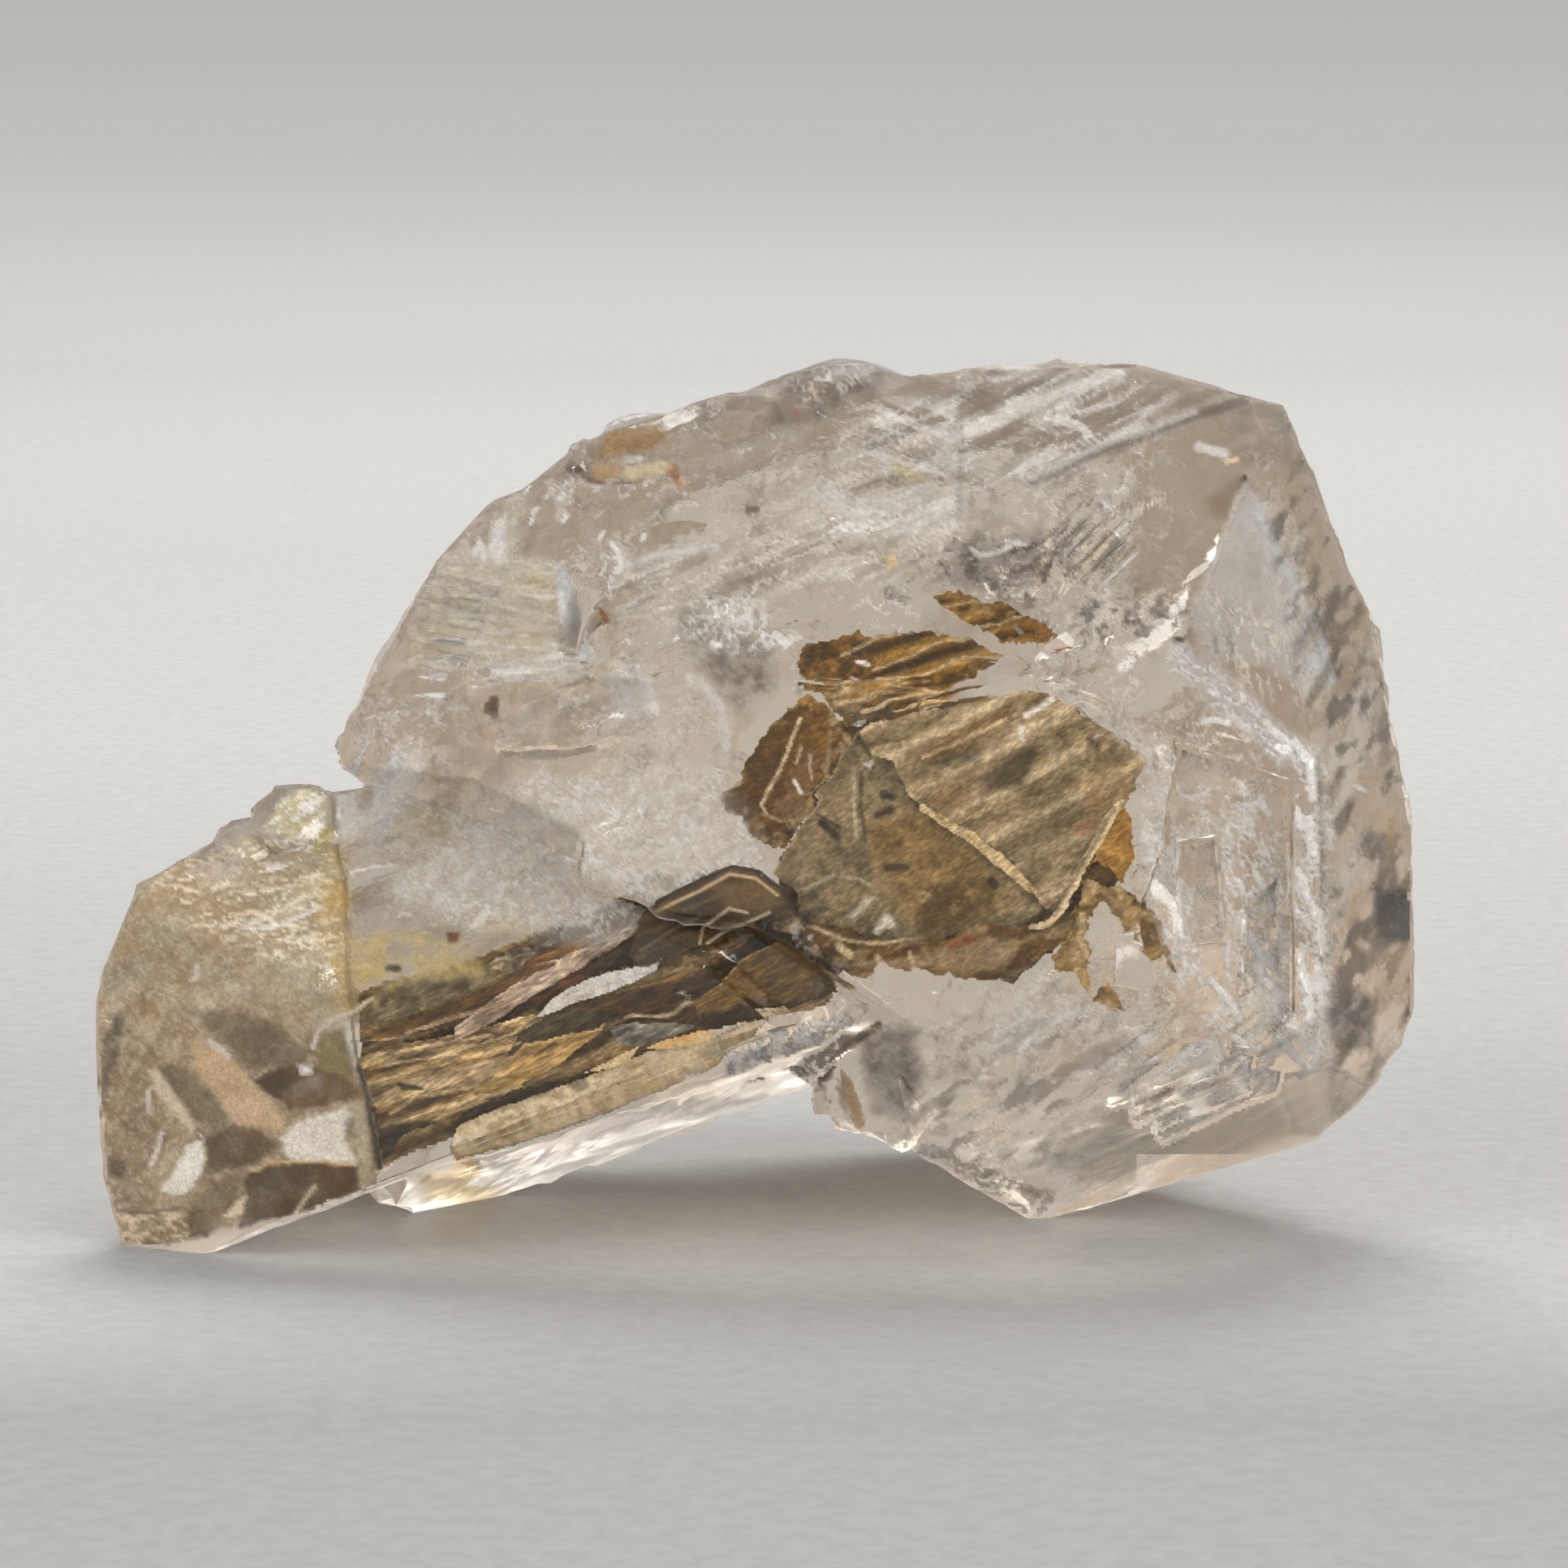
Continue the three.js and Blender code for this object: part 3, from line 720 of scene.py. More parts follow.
def quartz_material():
    """Clear, faintly smoky quartz: plain transmission and a volume that absorbs a little."""
    mat, tree, shader = material("clear_smoky_quartz")
    shader.inputs["Transmission Weight"].default_value = 1.0
    shader.inputs["IOR"].default_value = QUARTZ_IOR
    shader.inputs["Metallic"].default_value = 0.0
    cloud = ramp(tree, grain(tree, 900, 3), [(0.3, (0.97, 0.96, 0.95)), (0.7, (1, 1, 1))])
    tree.links.new(multiplied(tree, attr(tree, "tint", "Color"), cloud), shader.inputs["Base Color"])
    wear = maths(tree, "MULTIPLY", grain(tree, 2500, 3), 0.08)
    tree.links.new(maths(tree, "ADD", attr(tree, "roughness"), wear), shader.inputs["Roughness"])
    pits = bump(tree, grain(tree, 6000, 3, 0.6), attr(tree, "grit"), 0.00004)
    tree.links.new(pits, shader.inputs["Normal"])
    absorb = node(tree, "ShaderNodeVolumeAbsorption", Color=(0.60, 0.40, 0.15, 1), Density=40.0)
    tree.links.new(absorb.outputs["Volume"], tree.nodes["Material Output"].inputs["Volume"])
    return mat


mesh.materials.clear()
mesh.materials.append(quartz_material())


# ------------------------------------------------------------------ lines of sight that enter the quartz
surface_tree = tree_of(mesh)
surface_co = coords(mesh)
surface_tri = triangles(mesh)
surface_n = face_n.copy()  # evened out, so that small bumps don't scatter the lines
surface_ends = neighbours(surface_tri)
EVENING_ROUNDS = 8
for _ in range(EVENING_ROUNDS):
    surface_n += sum_over(surface_ends, surface_n)
    surface_n /= np.linalg.norm(surface_n, axis=1)[:, None]


def first_hits(lines):
    """Where lines of sight meet the quartz, in millimetres, and on which triangles."""
    at = np.full((len(lines), 3), np.nan)
    face = np.zeros(len(lines), int)
    start = Vector(EYE * MM)
    for i, line in enumerate(lines):
        hit = surface_tree.ray_cast(start, Vector(line))
        if hit[0] is not None:
            at[i] = hit[0]
            face[i] = hit[2]
    return at / MM, face


def normal_at(at, face):
    """The surface's normal at points on its triangles."""
    a, b, c = (surface_co[surface_tri[face, k]] for k in range(3))
    ab, ac, ap = b - a, c - a, at - a
    d00, d01, d11 = (ab * ab).sum(1), (ab * ac).sum(1), (ac * ac).sum(1)
    d20, d21 = (ap * ab).sum(1), (ap * ac).sum(1)
    scale = np.maximum(d00 * d11 - d01 * d01, 1e-12)
    v, w = (d11 * d20 - d01 * d21) / scale, (d00 * d21 - d01 * d20) / scale
    weights = np.stack([1 - v - w, v, w], axis=1)
    n = sum(weights[:, k, None] * surface_n[surface_tri[face, k]] for k in range(3))
    return n / np.maximum(np.linalg.norm(n, axis=1), 1e-9)[:, None]


def entry(px, py):
    """Where lines of sight meet the quartz, and their directions once Snell's law has bent them there."""
    lines = sight(px, py)
    at, face = first_hits(lines)
    n = normal_at(at, face)
    cos1 = np.clip(-(lines * n).sum(1), 0.05, 1)
    cos2 = np.sqrt(1 - (1 - cos1**2) / QUARTZ_IOR**2)
    bent = lines / QUARTZ_IOR + (cos1 / QUARTZ_IOR - cos2)[:, None] * n
    return at, bent / np.linalg.norm(bent, axis=1)[:, None]


# ------------------------------------------------------------------ films of clay and stained quartz inside
GRID_MARGIN = 12  # how far a film's grid reaches past its outline, in picture pixels
GRID_FACTOR = 1.0
TEAR_SIZE = 16
PAINT_WOBBLE = 4
FILM_CREASE = 50  # degrees
SHALLOWEST = 0.12  # how far under the surface a film lies at least, in millimetres


def srgb(r, g, b):
    """Linear light for a colour as a screen shows it."""
    c = np.array((r, g, b), float) / 255
    return np.where(c <= 0.04045, c / 12.92, ((c + 0.055) / 1.055) ** 2.4)


def rim_of(quads, count):
    """The edges that only one quad has, along its direction."""
    directed = np.concatenate([quads[:, [k, (k + 1) % 4]] for k in range(4)])
    codes = directed[:, 0] * count + directed[:, 1]
    return directed[~np.isin(codes, directed[:, 1] * count + directed[:, 0])]


def skin_triangles(quads, rim, count):
    """Triangles of a closed sheet: its front, its back and the walls at its rim."""
    a = 2 * count + np.arange(len(rim))
    b = a + len(rim)
    behind_a, behind_b = a + 2 * len(rim), b + 2 * len(rim)
    # the picture's y axis points down, so these fronts face the camera
    return np.concatenate([
        quads[:, [0, 2, 1]],
        quads[:, [0, 3, 2]],
        quads[:, [0, 1, 2]] + count,
        quads[:, [0, 2, 3]] + count,
        np.stack([b, behind_a, a], 1),
        np.stack([b, behind_b, behind_a], 1),
    ])


class Film:
    """A thin sheet inside the quartz: its outline and markings are laid out as the eye sees them."""

    rim_cover = 1.0

    def __init__(self, outline, y, lean=(0.0, 0.0), ragged=5.0, step=2.5, seed=0, press=0.5):
        """Lays a film out at depth y, in millimetres, which changes by lean for each one across and down.

        ragged is how far its edge strays and step its grid's spacing, both in picture pixels. press draws
        the sheet up towards the surface.
        """
        self.step = step * GRID_FACTOR
        self.seed = seed
        self.press = press
        outline = np.asarray(outline, float)
        low, high = outline.min(axis=0) - GRID_MARGIN, outline.max(axis=0) + GRID_MARGIN
        low = np.floor(low / self.step) * self.step
        self.count = np.ceil((high - low) / self.step).astype(int) + 1
        gx, gy = np.meshgrid(np.arange(self.count[0]), np.arange(self.count[1]), indexing="ij")
        self.p = low + np.stack([gx.ravel(), gy.ravel()], axis=1) * self.step
        flat = np.concatenate([self.p, np.full((len(self.p), 1), seed * 7.3)], axis=1)
        tear = np.stack([fractal(flat / TEAR_SIZE, 3, seed + side, 0.7) for side in (1, 2)], axis=1)
        self.d = fence(self.p + tear * ragged, outline)
        self.y = y + ((self.p - outline.mean(axis=0)) / PX_PER_MM * np.array(lean)).sum(axis=1)
        self.rgb = np.zeros((len(self.p), 3))
        self.cover = np.ones(len(self.p))
        self.gloss = np.full(len(self.p), 0.5)
        self.wobbled = self.p + tear * PAINT_WOBBLE

    def blotches(self, size, seed=0, stretch=1.0, angle=0.0):
        """Clouds of a size in picture pixels, drawn out at an angle."""
        a = math.radians(angle)
        run = self.p[:, 0] * math.cos(a) - self.p[:, 1] * math.sin(a)
        rise = self.p[:, 0] * math.sin(a) + self.p[:, 1] * math.cos(a)
        pts = np.stack([run / (size * stretch), rise / size, np.full(len(run), self.seed * 3.1)], axis=1)
        return fractal(pts, 4, self.seed * 5 + seed, 0.6)

    def paint(self, colour, amount=1.0):
        a = np.clip(amount, 0, 1)
        a = a[:, None] if isinstance(a, np.ndarray) else a
        self.rgb = self.rgb * (1 - a) + srgb(*colour) * a

    def lay(self, where, colour, amount, cover, gloss, lift):
        """Paints a part of the film, raises it and sets its cover and gloss where they are given."""
        self.paint(colour, where * amount)
        if cover is not None:
            self.cover = self.cover * (1 - where) + cover * where
        if gloss is not None:
            self.gloss = self.gloss * (1 - where) + gloss * where
        self.y -= lift * where

    def fill(self, corners, colour, soft=6, amount=1.0, cover=None, gloss=None, lift=0.0):
        self.lay(patch(self.wobbled, corners, soft), colour, amount, cover, gloss, lift)

    def line(self, points, width, colour, amount=1.0, lift=0.0, soft=None, cover=None, gloss=None):
        drawn = stroke(self.p + (self.wobbled - self.p) * 0.5, points, width, soft)
        self.lay(drawn, colour, amount, cover, gloss, lift)

    def mottle(self, size, colours, seed=0, amount=1.0, stretch=1.0, angle=0.0, lift=0.0, where=1.0):
        """Blotches of darker and lighter colour."""
        n = self.blotches(size, seed, stretch, angle)
        for colour, side in zip(colours, (-1, 1)):
            self.paint(colour, smooth(0.05, 0.35, side * n) * amount * where)
        self.y -= lift * n * where

    def ribs(self, corners, angle, spacing, dark, light, lift, seed=0, soft=10, waver=0.5):
        """Parallel folds: painted shade darkens the hollows and painted highlights lighten the crests."""
        m = np.ones(len(self.p)) if corners is None else patch(self.wobbled, corners, soft)
        a = math.radians(angle)
        rise = (self.p[:, 0] * math.sin(a) + self.p[:, 1] * math.cos(a)) / spacing
        rise = rise + waver * self.blotches(spacing * 2.2, seed + 3, 3.0, angle)
        w = np.cos(rise * 2 * math.pi)
        self.paint(dark, smooth(0.1, 0.9, -w) * 0.8 * m)
        self.paint(light, smooth(0.55, 0.98, w) * 0.75 * m)
        self.y -= lift * w * m

    def kept_quads(self):
        """The grid's squares that have at least three corners inside the outline."""
        nx, ny = self.count
        at = np.arange(nx * ny).reshape(nx, ny)
        quads = np.stack([at[:-1, :-1], at[1:, :-1], at[1:, 1:], at[:-1, 1:]], axis=-1).reshape(-1, 4)
        return quads[(self.d[quads] > 0).sum(axis=1) >= 3]

    def drawn_in(self):
        """The grid's points, where those just outside the outline are pulled onto it."""
        slope = np.stack(np.gradient(self.d.reshape(self.count), self.step), axis=-1).reshape(-1, 2)
        slope /= np.maximum(np.linalg.norm(slope, axis=1), 1e-6)[:, None]
        pull = np.clip(-self.d, 0, self.step * 0.9)
        return self.p + slope * pull[:, None]

    def sheet(self, p, y, thin):
        """The two sides of the sheet, placed where the bent lines of sight reach its depth."""
        at, bent = entry(p[:, 0], p[:, 1])
        missed = np.isnan(at[:, 0])
        at[missed] = on_plane(p[missed, 0], p[missed, 1], y[missed])
        below = np.maximum((y - at[:, 1]) * self.press, SHALLOWEST)
        reach = below / np.maximum(bent[:, 1], 0.2)
        return tuple(at + bent * (reach + side * thin)[:, None] for side in (-1, 1))

    def make(self, name, mat, slot, *replaced, thick=0.06):
        """Turns the film into a closed piece, which carries its colour, cover and gloss on its points."""
        used, renumbered = np.unique(self.kept_quads(), return_inverse=True)
        quads = renumbered.reshape(-1, 4)
        thin = np.clip(smooth(-1, 18, self.d), 0.15, 1) * thick / 2
        fronts, backs = self.sheet(self.drawn_in()[used], self.y[used], thin[used])
        rim = rim_of(quads, len(used))
        begins, ends = rim[:, 0], rim[:, 1]
        points = [fronts, backs, fronts[begins], fronts[ends], backs[begins], backs[ends]]
        mesh = tri_mesh(name, np.concatenate(points), skin_triangles(quads, rim, len(used)))
        source = np.concatenate([used, used, used[begins], used[ends], used[begins], used[ends]])
        cover = self.cover[source]
        cover[2 * len(used):] *= self.rim_cover
        attribute_colour(mesh, "tone", np.clip(self.rgb[source], 0, 1))
        attribute(mesh, "cover", np.clip(cover, 0, 1))
        attribute(mesh, "gloss", np.clip(self.gloss[source], 0.02, 1))
        shaded(mesh, FILM_CREASE)
        mesh.materials.append(mat)
        return add_piece(name, mesh, slot, *replaced)


def film_material(name, gain, specular, bumpiness, contrast=1.0, stretch=None, turn=0.0):
    """Dried clay or stain: its colours are painted on the mesh, with a fine grain on top."""
    mat, tree, shader = material(name)
    dark, light = 1 - 0.55 * contrast, 1 + 0.50 * contrast
    warm = (1.0, 0.97, 0.92)
    stops = [
        (0.34, tuple(dark * w for w in warm)),
        (0.45, ((1 + dark) / 2,) * 3),
        (0.52, (1.0, 1.0, 1.0)),
        (0.64, (light,) * 3),
    ]
    coarse = ramp(tree, grain(tree, 5200, 4, 0.75, stretch, turn), stops)
    fine = ramp(tree, grain(tree, 15000, 2, 0.6, stretch, turn), stops)
    speck = multiplied(tree, coarse, fine)
    lit = multiplied(tree, attr(tree, "tone", "Color"), (gain, gain, gain))
    tree.links.new(multiplied(tree, lit, speck), shader.inputs["Base Color"])
    worn = maths(tree, "MULTIPLY", grain(tree, 3100, 2, 0.6), 0.25)
    tree.links.new(maths(tree, "ADD", attr(tree, "gloss"), worn), shader.inputs["Roughness"])
    tree.links.new(attr(tree, "cover"), shader.inputs["Alpha"])
    shader.inputs["Specular IOR Level"].default_value = specular
    tree.links.new(bump(tree, grain(tree, 7000, 3, 0.65), bumpiness, 0.00005), shader.inputs["Normal"])
    return mat


CLAY = film_material("brown_clay", 1.18, 0.2, 0.5, 0.55, (2.6, 1.0, 1.0), 32.0)
STAIN = film_material("stained_layer", 1.15, 0.35, 0.25, 0.8, (5.0, 1.0, 1.0), 25.0)
MILK = film_material("milky_veil", 0.97, 0.4, 0.3, 0.25)

GOLD, GOLDBROWN, BROWN, DARK = (184, 140, 62), (142, 104, 40), (98, 69, 26), (54, 39, 15)
TAN, OLIVE, DEEPOLIVE = (174, 150, 110), (126, 111, 78), (80, 70, 43)
ORANGE, CREAM, WHITE = (196, 138, 58), (222, 200, 158), (240, 232, 218)
LIMB_DARK, LIMB_GOLD, LIMB_PALE = (46, 33, 15), (168, 134, 78), (222, 196, 150)


def clay_ground():
    """The brown ground behind all the clay."""
    outline = [(989, 854), (1030, 860), (1081, 851), (1161, 856), (1255, 856), (1307, 860), (1370, 905),
        (1410, 937), (1384, 996), (1388, 1079), (1334, 1135), (1279, 1170), (1236, 1198), (1113, 1190),
        (1054, 1188), (979, 1143), (953, 1075), (966, 1046), (996, 996), (1034, 937), (1044, 895),
        (1018, 866)]
    film = Film(outline, -4.3, ragged=8, step=4.5, seed=9)
    film.paint((112, 92, 56))
    film.mottle(30, [BROWN, TAN], 1, 0.7, lift=0.1)
    film.mottle(12, [DARK, GOLDBROWN], 2, 0.6)
    film.make("clay_ground", CLAY, "clay")


def wedge_clay():
    """The golden wedge above."""
    outline = [(1143, 736), (1161, 731), (1180, 728), (1193, 735), (1216, 739), (1240, 740), (1260, 758),
        (1280, 765), (1300, 777), (1323, 795), (1295, 798), (1275, 793), (1251, 795), (1232, 791),
        (1214, 779), (1200, 775), (1176, 760), (1155, 746)]
    film = Film(outline, -4.6, lean=(0.0, 0.10), ragged=7, seed=11, press=0.7)
    film.paint(GOLDBROWN)
    film.ribs(None, 20, 25, DARK, GOLD, 0.05, 1)
    film.mottle(14, [BROWN, (206, 164, 84)], 4, 0.5)
    tinted = [(1267, 755), (1327, 799), (1271, 799), (1279, 779)]
    film.fill(tinted, ORANGE, 10, 0.7, 0.75)
    edges = (
        ([(1155, 746), (1200, 775), (1232, 791)], 1.6, CREAM, 0.8),
        ([(1204, 775), (1232, 769), (1259, 759)], 1.4, CREAM, 0.8, 0.03),
        ([(1161, 749), (1188, 743), (1216, 740)], 1.4, CREAM, 0.7, 0.03),
    )
    each(film.line, edges)
    film.make("wedge_clay", CLAY, "clay", "upper_clay")


def lobe_clay():
    """The dark lobe below it."""
    outline = [(979, 816), (990, 795), (1026, 784), (1058, 777), (1075, 784), (1097, 780), (1147, 774),
        (1153, 784), (1196, 784), (1221, 802), (1242, 811), (1216, 823), (1192, 833), (1176, 841),
        (1157, 866), (1113, 875), (1081, 886), (1046, 895), (1030, 878), (1018, 860), (992, 850),
        (987, 832)]
    film = Film(outline, -4.9, lean=(0.0, 0.10), ragged=8, seed=21, press=0.6)
    film.paint(GOLDBROWN)
    folded = [(1050, 775), (1248, 775), (1248, 862), (1050, 862)]
    film.ribs(folded, 19, 34, DARK, GOLD, 0.09, 2, waver=0.35)
    tinted = [(977, 818), (990, 793), (1030, 781), (1066, 791), (1074, 838), (1034, 854),
        (990, 850)]
    film.fill(tinted, (112, 80, 32), 12, 0.85)
    mottled = [(977, 818), (990, 793), (1030, 781), (1074, 787), (1081, 846), (1034, 858), (990, 854)]
    film.mottle(13, [DARK, GOLD], 6, 0.65, lift=0.05, where=patch(film.p, mottled, 14))
    tinted = [(1018, 858), (1081, 850), (1161, 854), (1200, 838), (1255, 814), (1259, 838),
        (1161, 870), (1097, 878), (1046, 901)]
    film.fill(tinted, (196, 168, 122), 9, 0.8)
    folded = [(1018, 858), (1081, 850), (1161, 854), (1216, 830), (1161, 870), (1097, 878), (1046, 901)]
    film.ribs(folded, 14, 16, GOLDBROWN, CREAM, 0.04, 5)
    edges = (
        ([(1038, 809), (1081, 787), (1137, 775)], 1.6, CREAM, 0.9, 0.05),
        ([(1074, 826), (1113, 814), (1161, 791), (1196, 787)], 1.6, CREAM, 0.9, 0.05),
        ([(1081, 838), (1137, 834), (1188, 810), (1236, 810)], 1.6, CREAM, 0.85, 0.05),
        ([(1026, 858), (1066, 840), (1105, 842), (1164, 854)], 1.8, CREAM, 0.8),
        ([(990, 848), (1018, 840), (1034, 838)], 2.0, (232, 214, 160), 0.85),
        ([(1074, 832), (1113, 824), (1161, 803), (1192, 799)], 2.5, DARK, 0.7),
        ([(1050, 858), (1097, 848), (1161, 846), (1216, 816)], 2.2, GOLDBROWN, 0.7),
        ([(1058, 816), (1069, 819)], 2.6, WHITE, 1.0),
        ([(1050, 836), (1057, 840)], 2.2, WHITE, 0.9),
    )
    each(film.line, edges)
    film.make("lobe_clay", CLAY, "clay", "window_clay")


def wing_clay():
    """The left wing with its granular edge."""
    outline = [(973, 869), (996, 857), (1019, 863), (1040, 892), (1055, 907), (1036, 937), (1015, 969),
        (998, 997), (981, 1025), (966, 1049), (939, 1038), (919, 1021), (896, 998), (883, 986), (904, 964),
        (923, 926), (950, 894)]
    film = Film(outline, -5.5, lean=(-0.04, 0.02), ragged=9, seed=31)
    film.paint((116, 83, 30))
    film.mottle(26, [(92, 64, 22), (146, 106, 42)], 1, 0.6)
    film.mottle(9, [DARK, TAN], 2, 0.8, lift=0.05, where=1 - smooth(14, 30, film.d))
    patches = (
        ([(967, 878), (990, 878), (939, 1008), (896, 992), (923, 933)], BROWN, 12, 0.75),
        ([(990, 921), (1014, 933), (990, 1012), (951, 1008), (971, 965)], (126, 96, 62), 8, 0.8),
    )
    each(film.fill, patches)
    edges = (
        ([(986, 886), (961, 949), (938, 992)], 2.0, CREAM, 1.0, 0.03),
        ([(938, 992), (944, 1002)], 1.8, CREAM, 0.9),
        ([(939, 1003), (961, 1012), (987, 1012), (1018, 957), (1024, 901)], 2.2, TAN, 0.7, 0.02),
        ([(987, 920), (981, 942)], 1.6, CREAM, 0.8, 0.02),
        ([(998, 930), (1000, 959)], 1.6, CREAM, 0.6, 0.02),
        ([(979, 963), (987, 976)], 2.4, WHITE, 1.0, 0.02),
        ([(885, 977), (911, 965), (907, 963)], 2.4, CREAM, 0.9, 0.02),
        ([(973, 869), (998, 858), (1019, 863)], 6, GOLD, 0.5),
    )
    each(film.line, edges)
    film.make("wing_clay", CLAY, "clay")


def olive_clay():
    """The broad olive and golden sheet in the middle."""
    outline = [(1054, 901), (1081, 886), (1137, 874), (1176, 870), (1216, 886), (1248, 933), (1271, 996),
        (1279, 1048), (1273, 1099), (1287, 1115), (1255, 1147), (1200, 1151), (1137, 1160), (1081, 1158),
        (1046, 1147), (1010, 1143), (987, 1127), (979, 1099), (950, 1076), (979, 1028), (1014, 973),
        (1038, 933)]
    film = Film(outline, -5.0, lean=(-0.02, -0.02), ragged=4, seed=41)
    film.paint((142, 126, 92))
    film.mottle(48, [(104, 92, 64), TAN], 1, 0.7, lift=0.08)
    film.mottle(10, [DEEPOLIVE, TAN], 2, 0.5, lift=0.02)
    patches = (
        ([(1075, 1008), (1137, 996), (1200, 1048), (1236, 1091), (1228, 1115), (1200, 1143), (1137, 1151),
          (1097, 1099), (1074, 1060)], (146, 118, 68), 16, 0.8),
        ([(1137, 1095), (1176, 1079), (1228, 1091), (1220, 1119), (1176, 1143), (1137, 1147)],
         (90, 68, 27), 14, 0.9),
    )
    each(film.fill, patches)
    mottled = [(1075, 1008), (1137, 996), (1200, 1048), (1236, 1091), (1228, 1115), (1200, 1143),
        (1137, 1151), (1097, 1099), (1074, 1060)]
    film.mottle(20, [(108, 84, 42), (168, 138, 84)], 3, 0.6, where=patch(film.p, mottled, 14))
    patches = (
        ([(1058, 913), (1137, 878), (1172, 874), (1168, 901), (1113, 921), (1074, 933)],
         (128, 116, 88), 8, 0.7),
        ([(951, 1076), (1050, 925), (1066, 933), (1026, 1004), (990, 1099)], (168, 146, 112), 10, 0.7),
    )
    each(film.fill, patches)
    edges = (
        ([(1054, 907), (1036, 937), (1015, 971), (996, 1000), (950, 1076)],
         3.2, (204, 178, 138), 0.9, 0.12),
        ([(1053, 949), (1052, 988), (1054, 1030)], 2.2, (206, 194, 164), 0.8, 0.04),
        ([(1046, 917), (1049, 957), (1046, 996)], 1.6, (176, 160, 126), 0.6),
        ([(1062, 953), (1060, 996), (1066, 1036)], 2.6, DEEPOLIVE, 0.8),
        ([(1006, 1002), (1034, 1020)], 1.8, (44, 38, 26), 0.8),
        ([(987, 1097), (1026, 1079), (1058, 1083), (1074, 1091)], 2.2, (206, 194, 168), 0.6),
        ([(1068, 913), (1074, 925), (1113, 917), (1172, 870)], 3, (70, 60, 42), 0.5),
    )
    each(film.line, edges)
    pits = (
        [(1081, 1004), (1097, 996)],
        [(1087, 979), (1097, 981)],
        [(1093, 1069), (1115, 1068)],
        [(1133, 953), (1139, 961)],
        [(1222, 1085), (1226, 1091)],
        [(1012, 1014), (1030, 1030)],
    )
    for pit in pits:
        film.line(pit, 5, (44, 38, 26), 0.85)
    patches = (
        ([(1062, 941), (1079, 935), (1070, 949)], WHITE, 2, 0.9),
        ([(1042, 1131), (1066, 1107), (1081, 1105), (1054, 1133)], (214, 200, 176), 3, 0.9),
    )
    each(film.fill, patches)
    edges = (
        ([(1081, 1147), (1093, 1131), (1097, 1139)], 5, WHITE, 0.8),
        ([(1129, 1107), (1137, 1099), (1145, 1103), (1137, 1111)], 2.5, TAN, 0.8),
    )
    each(film.line, edges)
    film.make("olive_clay", CLAY, "clay")


def ribbed_clay():
    """The ribbed tan sheet at the right, with a fold at each side."""
    outline = [(1058, 903), (1074, 889), (1137, 873), (1184, 866), (1255, 850), (1303, 854), (1334, 878),
        (1374, 905), (1412, 933), (1408, 971), (1384, 992), (1350, 1038), (1336, 1075), (1307, 1127),
        (1289, 1119), (1271, 1097), (1244, 1064), (1204, 1028), (1161, 1008), (1133, 992), (1113, 973),
        (1097, 937), (1074, 933)]
    film = Film(outline, -5.35, lean=(0.0, 0.02), ragged=6, seed=51)
    film.paint((184, 160, 122))
    film.mottle(36, [OLIVE, (206, 184, 150)], 1, 0.6, 2.2, 27, lift=0.05)
    film.ribs(None, 27, 46, (124, 108, 76), (226, 206, 168), 0.12, 3, waver=0.55)
    film.mottle(9, [BROWN, CREAM], 8, 0.35, 2.0, 27)
    patches = (
        ([(1206, 979), (1226, 949), (1255, 924), (1278, 918), (1273, 943), (1261, 969), (1232, 975)],
         (84, 70, 42), 7, 0.9),
        ([(1133, 933), (1176, 913), (1228, 917), (1200, 941), (1137, 941)], DEEPOLIVE, 9, 0.7),
        ([(1129, 925), (1161, 913), (1196, 894), (1255, 862), (1240, 890), (1184, 925), (1145, 937)],
         GOLDBROWN, 8, 0.6),
        ([(1121, 969), (1200, 965), (1200, 996), (1161, 1008), (1133, 992)], (156, 128, 86), 12, 0.7),
        ([(1228, 1060), (1255, 1008), (1327, 981), (1350, 996), (1295, 1075), (1267, 1079)],
         (128, 112, 82), 16, 0.6),
        ([(1327, 957), (1414, 937), (1386, 992), (1350, 1012)], (168, 138, 92), 16, 0.6),
    )
    each(film.fill, patches)
    mottled = [(1287, 894), (1370, 901), (1370, 925), (1295, 933)]
    film.mottle(16, [BROWN, TAN], 12, 0.6, where=patch(film.p, mottled, 12))
    edges = (
        ([(1113, 917), (1161, 905), (1196, 884), (1240, 854)], 2.2, CREAM, 0.9, 0.06),
        ([(1137, 933), (1176, 917), (1212, 901), (1240, 886)], 2.0, CREAM, 0.8, 0.05),
        ([(1058, 890), (1097, 878), (1153, 864)], 2.0, (206, 180, 136), 0.8),
        ([(1066, 917), (1113, 911), (1168, 878)], 1.8, (96, 80, 50), 0.7),
        ([(1265, 882), (1279, 874), (1299, 858)], 4, WHITE, 1.0, 0.05),
        ([(1257, 897), (1260, 911)], 3, WHITE, 1.0, 0.05),
        ([(1331, 1024), (1346, 1018)], 7, (140, 84, 60), 0.6),
    )
    each(film.line, edges)
    patches = (
        ([(1303, 905), (1315, 905), (1311, 917)], DARK, 5, 0.7),
        ([(1344, 909), (1358, 913), (1352, 929)], DARK, 6, 0.7),
    )
    each(film.fill, patches)
    film.make("ribbed_clay", CLAY, "clay")


def ridge_clay():
    """The pale ridge between the two sheets."""
    outline = [(1133, 988), (1164, 1005), (1200, 1025), (1232, 1051), (1255, 1069), (1282, 1100),
        (1271, 1103), (1249, 1084), (1218, 1060), (1192, 1038), (1161, 1017), (1130, 996)]
    film = Film(outline, -5.6, ragged=3, seed=57)
    film.paint((226, 198, 150))
    film.mottle(9, [(160, 128, 80), CREAM], 1, 0.7, 2.0, -38)
    film.make("ridge_clay", CLAY, "clay", thick=0.1)


